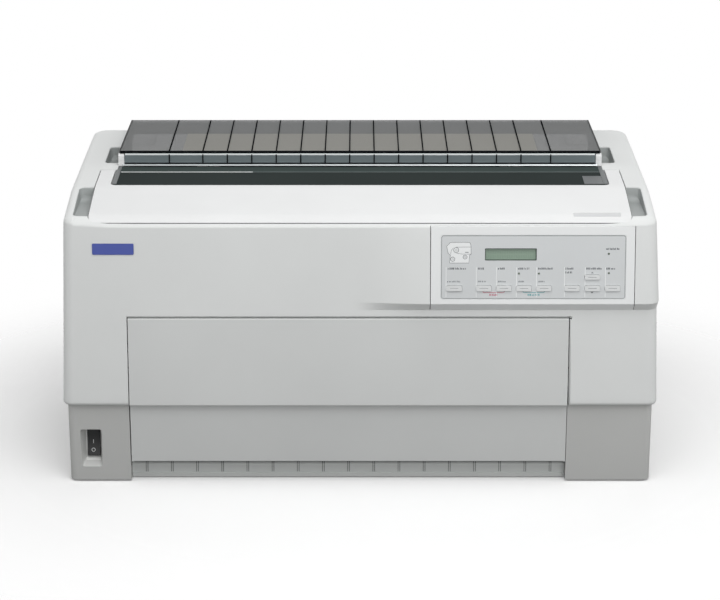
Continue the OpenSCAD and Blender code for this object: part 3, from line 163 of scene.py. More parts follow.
floor_mesh.from_pydata([(x * PAPER_HALF, y * PAPER_HALF, 0) for x, y in
                        ((-1, -1), (1, -1), (1, 1), (-1, 1))], [], [(0, 1, 2, 3)])
floor_mesh.materials.append(floor_material)
floor = bpy.data.objects.new("floor", floor_mesh)
bpy.context.scene.collection.objects.link(floor)


# Upper housing
# One large moulding, 3 mm thick, with a fine matt grain. Its walls lean in 1.6 degrees to leave
# the mould, its top falls to the front, and a swoosh swells out of the front into the panel's
# lip. Four cups for the fingers are let into its top, their walls a darker grey that is painted
# shade, and a thin dark strip in the cover's gap is painted shade of that gap.
def coat(name, srgb, rough, grain=0.0, grain_size=1.2, wander=0.02, metallic=0.0, specular=0.5,
         alpha=1.0, streak=None):
    """A surface of one colour c with wander c * (1 +- wander), roughness and bump from noise.
    grain is the bump's height in mm / 10, grain_size its size in mm, streak a stretch (x, y, z)."""
    m = bpy.data.materials.new(name)
    m.use_nodes = True
    n, l = m.node_tree.nodes, m.node_tree.links
    s = n["Principled BSDF"]
    place = n.new("ShaderNodeTexCoord")
    cloud = n.new("ShaderNodeTexNoise")
    cloud.inputs["Scale"].default_value = 9
    cloud.inputs["Detail"].default_value = 5
    l.new(place.outputs["Object"], cloud.inputs["Vector"])
    tone = n.new("ShaderNodeValToRGB")
    c = np.array(linear(srgb))
    tone.color_ramp.elements[0].position = 0.3
    tone.color_ramp.elements[1].position = 0.7
    tone.color_ramp.elements[0].color = tuple(np.clip(c[:3] * (1 - wander), 0, 1)) + (1,)
    tone.color_ramp.elements[1].color = tuple(np.clip(c[:3] * (1 + wander), 0, 1)) + (1,)
    l.new(cloud.outputs["Fac"], tone.inputs["Fac"])
    l.new(tone.outputs["Color"], s.inputs["Base Color"])
    fine = n.new("ShaderNodeTexNoise")
    fine.inputs["Scale"].default_value = 1000 / grain_size
    fine.inputs["Detail"].default_value = 3
    if streak:
        stretch = n.new("ShaderNodeMapping")
        stretch.inputs["Scale"].default_value = streak
        l.new(place.outputs["Object"], stretch.inputs["Vector"])
        l.new(stretch.outputs["Vector"], fine.inputs["Vector"])
    else:
        l.new(place.outputs["Object"], fine.inputs["Vector"])
    matt = n.new("ShaderNodeMapRange")
    matt.inputs["To Min"].default_value = max(rough - 0.08, 0.02)
    matt.inputs["To Max"].default_value = min(rough + 0.08, 1)
    l.new(fine.outputs["Fac"], matt.inputs["Value"])
    l.new(matt.outputs["Result"], s.inputs["Roughness"])
    if grain:
        bump = n.new("ShaderNodeBump")
        bump.inputs["Strength"].default_value = 0.35
        bump.inputs["Distance"].default_value = grain * 1e-4
        l.new(fine.outputs["Fac"], bump.inputs["Height"])
        l.new(bump.outputs["Normal"], s.inputs["Normal"])
    s.inputs["Metallic"].default_value = metallic
    s.inputs["Specular IOR Level"].default_value = specular
    s.inputs["Alpha"].default_value = alpha
    return m


housing_plastic = coat("housing_plastic", (232, 234, 233), 0.55, grain=0.6)
# the cups' walls are a darker grey than the housing: painted shade of the hollows
cup_painted_shade = coat("cup_painted_shade", (176, 180, 179), 0.6, grain=0.6)
dark_plastic = coat("dark_plastic", (62, 64, 66), 0.45, grain=0.4)


def round_corners(points, radii, n=5):
    """The outline with each corner replaced by an arc of its radius that touches both edges at
    distance r / tan(half the corner's angle)."""
    p = np.asarray(points, float)
    radii = [radii] * len(p) if np.isscalar(radii) else radii
    out = []
    for i, r in enumerate(radii):
        a, b, c = p[i - 1], p[i], p[(i + 1) % len(p)]
        if r <= 0:
            out.append(b)
            continue
        u, v = (a - b) / np.linalg.norm(a - b), (c - b) / np.linalg.norm(c - b)
        half = math.acos(np.clip(u @ v, -1, 1)) / 2
        if half > 1.55:
            out.append(b)
            continue
        reach = min(r / math.tan(half), np.linalg.norm(a - b) * 0.49, np.linalg.norm(c - b) * 0.49)
        r = reach * math.tan(half)
        centre = b + (u + v) / np.linalg.norm(u + v) * r / math.sin(half)
        s, e = b + u * reach - centre, b + v * reach - centre
        turn = math.atan2(s[0] * e[1] - s[1] * e[0], s @ e)
        for t in np.linspace(0, turn, n + 1):
            out.append(centre + [s[0] * math.cos(t) - s[1] * math.sin(t),
                                 s[0] * math.sin(t) + s[1] * math.cos(t)])
    return np.array(out)


def loft(rings, capped=True):
    """A skin over closed rings of equally many points, with a face over each end."""
    p = np.concatenate([np.asarray(r, float) for r in rings])
    k, n = len(rings), len(rings[0])
    i, j = np.meshgrid(np.arange(k - 1), np.arange(n), indexing="ij")
    a, b = (i * n + j).ravel(), (i * n + (j + 1) % n).ravel()
    faces = np.stack([a, b, b + n, a + n], 1).tolist()
    if capped:
        faces += [list(range(n))[::-1], list(range((k - 1) * n, k * n))]
    return p, faces


def prism(outline, lo, hi, axis="x"):
    """The outline, drawn in the other two axes in alphabetical order, drawn out from lo to hi."""
    o = np.asarray(outline, float)
    k = "xyz".index(axis)
    rings = []
    for t in (lo, hi):
        ring = np.zeros((len(o), 3))
        ring[:, k] = t
        ring[:, [i for i in range(3) if i != k]] = o
        rings.append(ring)
    return loft(rings)


def block(x0, x1, y0, y1, z0, z1, r=0.0, axis="z"):
    """A box, its four edges along axis rounded with radius r."""
    lo, hi = [x0, y0, z0], [x1, y1, z1]
    k = "xyz".index(axis)
    i, j = [m for m in range(3) if m != k]
    outline = [(lo[i], lo[j]), (hi[i], lo[j]), (hi[i], hi[j]), (lo[i], hi[j])]
    return prism(round_corners(outline, r) if r else outline, lo[k], hi[k], axis)


def turned(profile, centre, axis="x", n=48):
    """A turned piece: profile points (distance along the axis, radius) swept round the axis."""
    k = "xyz".index(axis)
    i, j = [m for m in range(3) if m != k]
    a = np.arange(n) * 2 * math.pi / n
    rings = []
    for t, r in profile:
        ring = np.zeros((n, 3))
        ring[:, k] = centre[k] + t
        ring[:, i] = centre[i] + max(r, 0.01) * np.cos(a)
        ring[:, j] = centre[j] + max(r, 0.01) * np.sin(a)
        rings.append(ring)
    return loft(rings)


def to_mesh(solid):
    """The solid as a mesh in metres, its double points merged and its faces turned outwards."""
    p, f = solid
    mesh = bpy.data.meshes.new("solid")
    mesh.from_pydata((np.asarray(p) * 0.001).tolist(), [], f)
    b = bmesh.new()
    b.from_mesh(mesh)
    bmesh.ops.remove_doubles(b, verts=b.verts, dist=1e-7)
    bmesh.ops.recalc_face_normals(b, faces=b.faces)
    b.to_mesh(mesh)
    b.free()
    return mesh


def after(solid, settings):
    """The solid after a list of Blender modifiers, each given as (kind, its settings)."""
    work = bpy.data.objects.new("work", to_mesh(solid))
    bpy.context.scene.collection.objects.link(work)
    spare = []
    for kind, values in settings:
        m = work.modifiers.new(kind, kind)
        for key, value in values.items():
            if key == "object":
                value = bpy.data.objects.new("cutter", to_mesh(value))
                bpy.context.scene.collection.objects.link(value)
                spare.append(value)
            setattr(m, key, value)
    bpy.context.view_layer.update()
    result = work.evaluated_get(bpy.context.evaluated_depsgraph_get()).to_mesh()
    p = np.zeros(len(result.vertices) * 3)
    result.vertices.foreach_get("co", p)
    faces = [list(f.vertices) for f in result.polygons]
    for o in spare + [work]:
        bpy.data.objects.remove(o)
    return p.reshape(-1, 3) * 1000, faces


def cut(solid, *cutters, keep="DIFFERENCE"):
    """What is left of the solid outside the cutters, or with keep INTERSECT inside them."""
    return after(solid, [("BOOLEAN", {"operation": keep, "solver": "EXACT", "object": c})
                         for c in cutters])


def piece(name, body, *parts, replaces=(), slot=None, smooth=32):
    """Makes the object from (solid, material) parts, shades it smooth below the angle, and
    hangs it on its body."""
    points, faces, index, materials, base = [], [], [], [], 0
    for solid, material in parts:
        if material not in materials:
            materials.append(material)
        points.append(np.asarray(solid[0], float))
        faces += [[v + base for v in f] for f in solid[1]]
        index += [materials.index(material)] * len(solid[1])
        base += len(solid[0])
    mesh = bpy.data.meshes.new(name)
    mesh.from_pydata((np.concatenate(points) * 0.001).tolist(), [], faces)
    for m in materials:
        mesh.materials.append(m)
    mesh.polygons.foreach_set("material_index", index)
    b = bmesh.new()
    b.from_mesh(mesh)
    bmesh.ops.recalc_face_normals(b, faces=b.faces)
    for e in b.edges:
        e.smooth = len(e.link_faces) == 2 and e.calc_face_angle(0) < math.radians(smooth)
    for f in b.faces:
        f.smooth = True
    b.to_mesh(mesh)
    b.free()
    mesh.update()
    obj = bpy.data.objects.new(name, mesh)
    bpy.context.scene.collection.objects.link(obj)
    even = obj.modifiers.new("even_normals", "WEIGHTED_NORMAL")
    even.keep_sharp = True
    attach(obj, body)
    if replaces:
        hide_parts(*replaces)
    return obj


FOOT, LEDGE, LIP, PANEL_TOP, KNEE_Y, REAR = 99.0, 217.0, 226.0, 316.7, -84.0, 191.0
FRONT_AT_FOOT, HALF_AT_FOOT, KNEE_Z, WALL = -186.5, 350, 340.3, 3.0
LEAN = math.tan(math.radians(1.6))
FALL_FRONT, FALL_REAR = math.radians(9.35), math.radians(1.75)
NOSE_Y, NOSE_RADIUS, SWELL = -162, 27, 8.05
CORNER_FRONT, CORNER_REAR, EDGE_RADIUS, FOOT_RADIUS = 13, 20, 8, 5.0


def top_z(y):
    """Height of the top at y: 340.3 + (y + 84) tan(9.35) in front of the knee, tan(1.75) behind."""
    y = np.asarray(y, float)
    slope = np.where(y < KNEE_Y, math.tan(FALL_FRONT), math.tan(FALL_REAR))
    return KNEE_Z + (y - KNEE_Y) * slope


def crown_z(y):
    """Height of the top with its nose: in front of y = -162 the slope runs into an arc of 27 mm,
    z = z0 - 27 (cos 9.35 - cos t) with sin t = sin 9.35 + (-162 - y) / 27."""
    y = np.asarray(y, float)
    ahead = (NOSE_Y - np.minimum(y, NOSE_Y)) / NOSE_RADIUS
    t = np.arcsin(np.clip(math.sin(FALL_FRONT) + ahead, 0, 0.95))
    return top_z(np.maximum(y, NOSE_Y)) - NOSE_RADIUS * (math.cos(FALL_FRONT) - np.cos(t))


def face_y(z):
    """Depth of the flat front at height z: -186.5 + (z - 99) tan(1.6)."""
    return FRONT_AT_FOOT + (np.asarray(z, float) - FOOT) * LEAN


def side_x(z):
    """Half the width at height z: 350 - (z - 99) tan(1.6)."""
    return HALF_AT_FOOT - (np.asarray(z, float) - FOOT) * LEAN


def smoothstep(t):
    """A soft step from 0 to 1: t * t * (3 - 2 t), with t held between 0 and 1."""
    t = np.clip(t, 0, 1)
    return t * t * (3 - 2 * t)


def swell(x, z):
    """How far the front stands out: 8.05 mm at the lip, down to nothing at the panel's top and
    at the ledge below, times a soft step from x = -8 to 82."""
    up = np.clip((PANEL_TOP - z) / (PANEL_TOP - LIP), 0, 1)
    under = np.clip((z - LEDGE) / (LIP - LEDGE), 0, 1) * 0.96 + 0.04 * (z > LEDGE)
    return SWELL * np.where(z >= LIP, up, under) * smoothstep((x + 8) / 90) ** 0.75


def housing_rings(inset=0.0):
    """Rings round the housing from its foot to its upper edge. At the sides and the back that
    edge is a quarter round of 8 mm, in by 8 (1 - cos a) and up by 8 sin a; at the front a crisp
    edge and the nose above it. The two go over into one another near the corners."""
    front = np.concatenate([np.linspace(-1, -0.88, 5), np.linspace(-0.8, -0.05, 10),
                            np.linspace(-0.03, 0.27, 34), np.linspace(0.3, 0.85, 12),
                            np.linspace(0.88, 1, 5)])
    arc = np.linspace(0, math.pi / 2, 10)[1:-1]
    side = np.array([-158, -140, -120, -100, -84, -60, -30, 0, 40, 80, 120, 150.0])
    rear = np.linspace(1, -1, 9)

    def plan(z):
        """Points, outward directions and shares of the round edge at height z: four straight
        walls, joined by quarter rounds (r sin t, r cos t) of 13 mm in front and 20 mm behind."""
        half, fy, ry = side_x(z) - inset, face_y(z) + inset, REAR - inset
        r1, r2 = CORNER_FRONT - inset, CORNER_REAR - inset
        s, c = np.sin(arc), np.cos(arc)
        y = np.maximum(side, fy + r1)
        walls = ((front * (half - r1), fy, 0, -1, 0.6 * smoothstep((abs(front) - 0.85) / 0.15)),
                 (half - r1 + r1 * s, fy + r1 - r1 * c, s, -c, 0.6 + 0.4 * arc / (math.pi / 2)),
                 (half, y, 1, 0, 1),
                 (half - r2 + r2 * c, ry - r2 + r2 * s, c, s, 1),
                 (rear * (half - r2), ry, 0, 1, 1),
                 (-half + r2 - r2 * s, ry - r2 + r2 * c, -s, c, 1),
                 (-half, y[::-1], -1, 0, 1),
                 (-half + r1 - r1 * c, fy + r1 - r1 * s, -c, -s, 1))
        rows = np.concatenate([np.column_stack(np.broadcast_arrays(*wall)) for wall in walls])
        return rows[:, :2], rows[:, 2:4], rows[:, 4]

    nose = [(0, -1.2), (0, -0.5), (0.25, 0.35)] + [
        (18.5 - NOSE_RADIUS * (math.sin(t) - math.sin(FALL_FRONT)),
         12.3 - NOSE_RADIUS * (math.cos(FALL_FRONT) - math.cos(t)))
        for t in np.radians(np.linspace(55, 9.35, 9))]
    quarter = [(0, -1.2), (0, 0), (0.06, 1)] + [
        (EDGE_RADIUS - EDGE_RADIUS * math.cos(t), EDGE_RADIUS * math.sin(t))
        for t in np.radians(np.linspace(14, 90, 9))]
    thin = 1 - inset / 12

    def edge(share, k):
        """How far in and how far up the k-th ring of the edge stands, for each point."""
        return [(nose[k][m] * (1 - share) + quarter[k][m] * share) * thin for m in (0, 1)]

    def at_height(p, z):
        """The plan's points with their height as a third column."""
        return np.column_stack([p, np.broadcast_to(z, len(p))])

    p, away, share = plan(FOOT)
    if inset:
        rings = [at_height(p, FOOT - 1)]
    else:
        rings = [at_height(p - away * (FOOT_RADIUS * (1 - math.cos(a))),
                           FOOT + FOOT_RADIUS + FOOT_RADIUS * math.sin(a))
                 for a in np.linspace(-math.pi / 2, 0, 5)]
    # rings lie close together round the ledge and the lip; the swell dies away round the right
    # corner and along the right side, and never stands wider than the foot
    bend = len(front) + len(arc)
    wall_end = bend + len(side)
    for z in [*range(110, 191, 20), 206, 214, 216.9, 217.1, 219.5, 222, 224, 225.2, 225.8, 226.2,
              226.8, 228, 231, 236, *range(242, 299, 8), 305]:
        p, away, share = plan(z)
        if not inset:
            fade = np.zeros(len(p))
            fade[:len(front)] = 1
            fade[len(front):bend] = 1 - 0.72 * smoothstep(np.linspace(0, 1, len(arc) + 2)[1:-1])
            fade[bend:wall_end] = (0.28 * np.linspace(1, 0, len(side))
                                   * ((z > 140) & (p[bend:wall_end, 0] < 349.4)))
            room = np.where(away[:, 0] > 0.5, 349.9 - p[:, 0], 99)
            grown = np.minimum(swell(p[:, 0], z) * fade, np.maximum(room, 0))
            p = p + away * grown[:, None]
        rings.append(at_height(p, z))
    # the edge's rings follow the slope of the top
    upper = 330
    base, away, share = plan(upper)
    back, rise = edge(share, -1)
    top = top_z(base[:, 1] - away[:, 1] * back) - inset
    for _ in range(3):
        x_in = (side_x(upper) - side_x(top - rise)) * away[:, 0]
        y_in = (face_y(upper) - face_y(top - rise)) * np.minimum(away[:, 1], 0)
        p = base - np.column_stack([x_in, -y_in])
        top = top_z(p[:, 1] - away[:, 1] * back) - inset
    for k in range(len(nose)):
        inward, up = edge(share, k)
        rings.append(at_height(p - away * inward[:, None], top - rise + up))
    return rings


def housing_solid(inset=0.0):
    """The rings as a closed solid; its top is two flat faces that meet at the knee."""
    rings = housing_rings(inset)
    p, faces = loft(rings, capped=False)
    n = len(rings[0])
    last = (len(rings) - 1) * n
    y = rings[-1][:, 1]
    ahead = [last + i for i in range(n) if y[i] <= KNEE_Y + 0.01]
    behind = [last + i for i in range(n) if y[i] >= KNEE_Y - 0.01]
    faces += [ahead, behind, list(range(n))[::-1]]
    return p, faces


LID_HALF, LID_FRONT, LID_REAR, LID_CORNER = 315, -177, -9.5, 8.0
LID_GAP, HOLE_GAP, OVERHEAD = 0.5, 0.6, 420


def rectangle(x0, x1, y0, y1):
    """Its four corners, anticlockwise from the lower left."""
    return [(x0, y0), (x1, y0), (x1, y1), (x0, y1)]


def lid_plan(grow):
    """Outline of the top cover seen from above, grown all round."""
    corner = LID_CORNER + grow
    return round_corners(rectangle(-LID_HALF - grow, LID_HALF + grow, LID_FRONT - grow,
                                   LID_REAR + grow), [corner, corner, 0, 0])


def above(down):
    """All that lies above the top's own line, moved down by that much."""
    y = np.concatenate([np.linspace(-181, NOSE_Y, 12), [KNEE_Y, 60]])
    return prism(list(zip(y, crown_z(y) - down)) + [(60, 500), (-181, 500)], -500, 500)


def bent_plate(y0, y1, thick):
    """A plate under the top's line between y0 and y1, with a soft knee: within 8 mm of it the
    line is lowered by 0.066 (8 - d) ** 2 / 16."""
    y = np.concatenate([np.linspace(y0, NOSE_Y, 14), np.linspace(KNEE_Y - 8, KNEE_Y + 8, 7), [y1]])
    near = np.maximum(8 - np.abs(y - KNEE_Y), 0)
    z = crown_z(y) - near ** 2 / 16 * 0.066
    return prism(list(zip(y, z)) + list(zip(y[::-1], z[::-1] - thick)), -LID_HALF, LID_HALF)


def pocket(side, x0, x1, y0, y1, depth, grow=0.0):
    """A cup for the fingers: its floor slopes up to the front and rounds into a steep rear
    wall. With grow it is the same cup a wall's thickness larger."""
    z = float(top_z(y1))
    r = 9 + grow
    y, t = y1 + grow, np.linspace(-math.pi / 2, 0, 8)
    section = [(y0 - grow, z + 30), (y0 - grow, float(top_z(y0)) - 5 - grow)]
    section += [(y - r + r * math.cos(a), z - depth - grow + r + r * math.sin(a)) for a in t]
    section += [(y, z + 30)]
    cup = prism(section, x0 - grow, x1 + grow)
    plan = prism(round_corners(rectangle(x0 - grow, x1 + grow, y0 - grow, y1 + grow), 6 + grow),
                 280, OVERHEAD, "z")
    p, f = cut(cup, plan, keep="INTERSECT")
    return p * [side, 1, 1], f


def pocket_cup(side, place, limit):
    """The 2 mm wall of a cup under the top, without what would stand in a cover's way."""
    cup = cut(pocket(side, *place, 1.6), pocket(side, *place, -0.4))
    under_top = prism([(-200, 200), (KNEE_Y, 200), (200, 200), (200, float(top_z(200)) - 1.2),
                       (KNEE_Y, KNEE_Z - 1.2), (-200, float(top_z(-200)) - 1.2)], -400, 400)
    return cut(cut(cup, under_top, keep="INTERSECT"), limit)


POCKET_FRONT, POCKET_REAR = (306, 333, -170, -86, 18), (286.7, 313.7, 22, 100, 18)
DOOR_LEFT, DOOR_RIGHT, DOOR_TOP, BADGE_Z = -272.2, 244.8, 207, 289.5
HATCH_HALF, HATCH_FRONT = 295.3, -9.6
pockets = [pocket(s, *place) for place in (POCKET_FRONT, POCKET_REAR) for s in (-1, 1)]
lid_hole = cut(prism(lid_plan(HOLE_GAP), 285, OVERHEAD, "z"), above(3.6), keep="INTERSECT")
lid_room = cut(prism(lid_plan(HOLE_GAP), 285, OVERHEAD, "z"), above(4.6), keep="INTERSECT")
hatch_hole = block(-HATCH_HALF, HATCH_HALF, HATCH_FRONT, 230, 315.7, OVERHEAD)
hatch_room = block(-HATCH_HALF, HATCH_HALF, HATCH_FRONT, 230, 336, OVERHEAD)
panel_hole = block(81.2, 318.8, -260, -151, LEDGE, PANEL_TOP + 0.3)
door_hole = block(DOOR_LEFT, DOOR_RIGHT, -260, -146, 90, DOOR_TOP)
bevel_above_door = prism([(-190, 205), (-190, 209.2), (float(face_y(209.2)), 209.2),
                          (float(face_y(DOOR_TOP)) + 2.4, 206.9), (-180, 205)], DOOR_LEFT, 247)
bevel_beside_door = prism([(244, -190), (247, -190), (247, float(face_y(150))),
                           (DOOR_RIGHT, float(face_y(150)) + 2.4), (244, -180)], 90, 209.2, "z")
badge_seat = block(-310.3, -261.7, -260, float(face_y(BADGE_Z)) + 0.8, 282.7, 296.3, 1.5, "y")
air_slots = [block(-250 + i * 14, -243 + i * 14, 180, 230, 140, 200, 3.4, "y") for i in range(16)]
shell = cut(housing_solid(), housing_solid(WALL), lid_hole, hatch_hole, panel_hole, door_hole,
            bevel_above_door, bevel_beside_door, badge_seat, *air_slots, *pockets)
# left and right, front and rear, foot and top of each boss, then its bore: y, z and radius
bosses = []
for s in (-1, 1):
    for x0, x1, y0, y1, z0, z1, pin_y, pin_z, r in (
            (315.6, 323, -20, -6, 331, 340, -13, 338.8, 2.05),
            (295.3, 302.7, 168, 184, 334, 345, 176, 342.2, 3.05)):
        x0, x1 = sorted((s * x0, s * x1))
        bosses.append(cut(block(x0, x1, y0, y1, z0, z1, 2, "x"),
                          turned([(-9, r), (9, r)], ((x0 + x1) / 2, pin_y, pin_z), "x", 32)))
# the cups take the darker grey, which is painted shade
cups = [pocket_cup(s, place, room)
        for place, room in ((POCKET_FRONT, lid_room), (POCKET_REAR, hatch_room)) for s in (-1, 1)]
# in the cover's gap, 0.5 mm under the top, a thin dark strip is painted shade of the gap, not a
# part of the machine
ring = cut(cut(bent_plate(-178, -12, 2.4), prism(lid_plan(HOLE_GAP), 280, OVERHEAD, "z"),
               keep="INTERSECT"), prism(lid_plan(-LID_GAP), 270, 430, "z"))
gap_painted_shade = ring[0] - [0, 0, 0.5], ring[1]
piece("housing_shell", "case", (shell, housing_plastic), *[(c, cup_painted_shade) for c in cups],
      *[(b, housing_plastic) for b in bosses], (gap_painted_shade, dark_plastic),
      replaces=("upper_housing",), slot="housing")


# Top cover
# A bent plate, hinged at its rear corners, that covers the carriage. Its rear half is open for
# the smoked window, and a bare silver strip lies in a shallow seat at its front right.
def soften(solid, width, angle=35):
    """The solid with each edge sharper than that angle rounded over that width."""
    return after(solid, [("BEVEL", {"width": width * 0.001, "limit_method": "ANGLE",
                                    "angle_limit": math.radians(angle), "segments": 2,
                                    "miter_outer": "MITER_ARC"})])


LID_HINGE_Y, LID_HINGE_Z = -13, 338.76
cover_plastic = coat("cover_plastic", (236, 237, 237), 0.5, grain=0.6)
strip_silver = coat("strip_silver", (206, 207, 208), 0.35)
plate = cut(bent_plate(LID_FRONT, LID_REAR, 3), prism(lid_plan(-LID_GAP), 280, OVERHEAD, "z"),
            keep="INTERSECT")
window_hole = prism(round_corners(rectangle(-297.4, 297.4, -78.3, 40), [7, 7, 0, 0]),
                    280, OVERHEAD, "z")
strip_seat = cut(block(247, 302.5, -168.8, -159.6, 280, OVERHEAD, 1.2), above(0.55),
                 keep="INTERSECT")
plate = soften(cut(plate, window_hole, strip_seat), 0.9, 40)
hinge_parts = []
for s in (-1, 1):
    hinge_parts.append(turned([(-8.7, 3.4), (-8.4, 3.7), (8.4, 3.7), (8.7, 3.4)],
                              (s * 306.2, LID_HINGE_Y, LID_HINGE_Z)))
    hinge_parts.append(turned([(-8, 2), (8, 2)], (s * 312, LID_HINGE_Y, LID_HINGE_Z), n=24))
ribs = [block(-303, 303, y, y + 2, float(top_z(y)) - 11, float(top_z(y)) - 2.5)
        for y in (-164, -88)]
silver_strip = cut(cut(block(247.5, 302, -168.3, -160.1, 280, OVERHEAD, 0.8), above(0.6),
                       keep="INTERSECT"), above(0.25))
piece("top_cover_plate", "top_cover", (plate, cover_plastic), (silver_strip, strip_silver),
      *[(h, cover_plastic) for h in hinge_parts + ribs], replaces=("top_cover",), slot="cover")


# Control panel
# A separate moulding set into the housing's right front, leaning back 6.6 degrees from its
# projecting lip, with a printed film in a shallow seat.
LIP_Y, FILM_DEPTH, FILM_GAP = -191, 1.2, 0.6
FILM_LEFT, FILM_RIGHT, FILM_FOOT, FILM_TOP = 94.1, 307.3, 6.5, 80.5
TILT = math.atan((float(face_y(PANEL_TOP)) - LIP_Y) / (PANEL_TOP - LIP))
LAMP_SPOTS = ((184, 36), (207.2, 36), (288.2, 36.5), (287.8, 59.2))


def on_panel(solid):
    """Points (x, depth into the panel, height up its slope) moved to the panel's face."""
    p, f = solid
    p = np.asarray(p, float)
    c, s = math.cos(TILT), math.sin(TILT)
    return np.column_stack([p[:, 0], LIP_Y + p[:, 1] * c + p[:, 2] * s,
                            LIP - p[:, 1] * s + p[:, 2] * c]), f


# each button's name, its middle across and up the slope, its width and its height
BUTTONS = (("button_select", 109, 18.8, 18.4, 6.4), ("button_font", 143.4, 18.8, 17.6, 6.4),
           ("button_pitch", 166.7, 18.8, 17.6, 6.4), ("button_tear_off", 189.9, 18.8, 17.6, 6.4),
           ("button_top_of_form", 213.2, 18.8, 17.6, 6.4), ("button_load", 245.8, 18.8, 17.6, 6.4),
           ("button_feed_down", 269.3, 18.8, 17.6, 6.4), ("button_feed_up", 269, 31.8, 17.6, 5.6),
           ("button_pause", 292.8, 18.8, 17.6, 6.4))


def button_edges(x, mid, wide, tall, grow=0.0):
    """Left, right, lower and upper edge of a button, grown all round."""
    w, h = wide / 2, tall / 2
    return x - w - grow, x + w + grow, mid - h - grow, mid + h + grow


def panel_holes(y0, y1):
    """Cutters from depth y0 to y1 for the buttons, the display and the lamps."""
    holes = []
    for name, *place in BUTTONS:
        x0, x1, h0, h1 = button_edges(*place, grow=0.35)
        holes.append(block(x0, x1, y0, y1, h0, h1, 1.9, "y"))
    holes.append(block(144.5, 204.5, y0, y1, 51.3, 65.6, 1.0, "y"))
    holes += [turned([(y0, 1.3), (y1, 1.3)], (x, 0, h), "y", 16) for x, h in LAMP_SPOTS]
    return [on_panel(h) for h in holes]


panel_body = prism(round_corners([(float(face_y(PANEL_TOP)) - 0.1, PANEL_TOP), (LIP_Y, LIP),
                                  (float(face_y(LEDGE)) - 0.4, LEDGE), (-169, LEDGE),
                                  (-169, PANEL_TOP)], [0.8, 1.2, 0.6, 0, 0], 3), 82, 318)
panel_body = cut(panel_body, on_panel(block(85, 315, 4.2, 60, 5.3, 83.7)),
                 on_panel(block(FILM_LEFT - FILM_GAP, FILM_RIGHT + FILM_GAP, -1, FILM_DEPTH,
                                FILM_FOOT - FILM_GAP, FILM_TOP + FILM_GAP, 3.2, "y")),
                 *panel_holes(-2, 12))
# the panel moulding is lighter than the housing: painted light for its face, which leans back
# towards the lamps above
panel_plastic_painted_light = coat("panel_plastic_painted_light", (242, 244, 244), 0.55, grain=0.6)
piece("control_panel_moulding", "case", (soften(panel_body, 0.5, 50), panel_plastic_painted_light),
      replaces=("control_panel",), slot="housing")

film_plastic = coat("panel_film", (214, 217, 218), 0.42, grain=0.2, grain_size=0.7)
film = cut(on_panel(block(FILM_LEFT, FILM_RIGHT, 0.1, FILM_DEPTH, FILM_FOOT, FILM_TOP, 2.6, "y")),
           *panel_holes(-2, 12))
piece("panel_film", "case", (soften(film, 0.25, 50), film_plastic), replaces=("panel_bezel",),
      slot="bezel", smooth=8)


# Print on the panel's film
# Screen print: a section drawing of the paper paths, a white rule beside each key, short rows
# of plain marks, two arrows and two brackets. Nothing on it can be read.
def printed(outline, thick=0.06):
    """A flat printed area on the film, from an outline in x and height."""
    return on_panel(prism(outline, 0.1 - thick, 0.1, "y"))


def stroke(points, width):
    """A line of constant width along the points, as one printed area."""
    p = np.asarray(points, float)
    d = np.gradient(p, axis=0)
    d /= np.linalg.norm(d, axis=1)[:, None]
    side = np.column_stack([-d[:, 1], d[:, 0]]) * width / 2
    return printed(np.concatenate([p + side, (p - side)[::-1]]))


def mark_row(x0, x1, h, tall, seed):
    """A row of plain marks from x0 to x1, of uneven width and with uneven gaps."""
    rng = np.random.default_rng(seed)
    row, x = [], x0
    while x < x1 - 0.4:
        w = rng.uniform(0.7, 1.3)
        low = rng.choice([0, 0, tall * 0.25])
        end = min(x + w, x1)
        row.append(printed([(x, h - tall / 2), (end, h - tall / 2),
                            (end, h + tall / 2 - low), (x, h + tall / 2 - low)]))
        x += w + rng.choice([0.45, 0.5, 1.1])
    return row


ink_dark = coat("ink_dark", (92, 96, 100), 0.5)
ink_grey = coat("ink_grey", (128, 133, 136), 0.5)
ink_white = coat("ink_white", (243, 245, 245), 0.5)
ink_red = coat("ink_red", (190, 106, 124), 0.5)
ink_teal = coat("ink_teal", (96, 166, 170), 0.5)
film_gap_painted_shade = coat("film_gap_painted_shade", (132, 137, 138), 0.5)
# the grey line round the film's edge is painted shade of the gap round the film, not print
edge = round_corners(rectangle(FILM_LEFT + 0.3, FILM_RIGHT - 0.3, FILM_FOOT + 0.3,
                               FILM_TOP - 0.3), 2.4)
marks = [(stroke(np.concatenate([edge, edge[:1]]), 0.5), film_gap_painted_shade)]
for x in (99.7, 134.7, 158.1, 181.3, 204.5, 236.9, 260.7, 284.3):
    marks.append((printed(rectangle(x - 0.35, x + 0.35, 8.4, 43.6)), ink_white))
for k, (x0, x1, h, tall, ink) in enumerate((
        (284.5, 300.5, 65.0, 2.3, ink_dark), (101.6, 122.6, 41.9, 2.3, ink_dark),
        (101.0, 116.0, 26.7, 1.9, ink_grey), (136.6, 144.7, 41.9, 2.3, ink_dark),
        (159.7, 168.4, 41.9, 2.3, ink_dark), (182.9, 195.8, 41.9, 2.3, ink_dark),
        (206.3, 223.2, 41.9, 2.3, ink_dark), (237.9, 247.0, 41.9, 2.3, ink_dark),
        (237.9, 245.4, 37.4, 2.3, ink_dark), (261.9, 279.5, 41.9, 2.3, ink_dark),
        (285.2, 296.3, 41.9, 2.3, ink_dark), (136.8, 145.6, 26.7, 1.7, ink_grey),
        (160.0, 168.7, 26.7, 1.7, ink_grey), (183.2, 190.0, 26.7, 1.7, ink_grey),
        (206.6, 213.9, 26.7, 1.7, ink_grey), (150.1, 159.5, 11.1, 2.1, ink_red),
        (194.4, 208.2, 11.1, 2.1, ink_teal))):
    marks += [(m, ink) for m in mark_row(x0, x1, h, tall, 11 + k)]
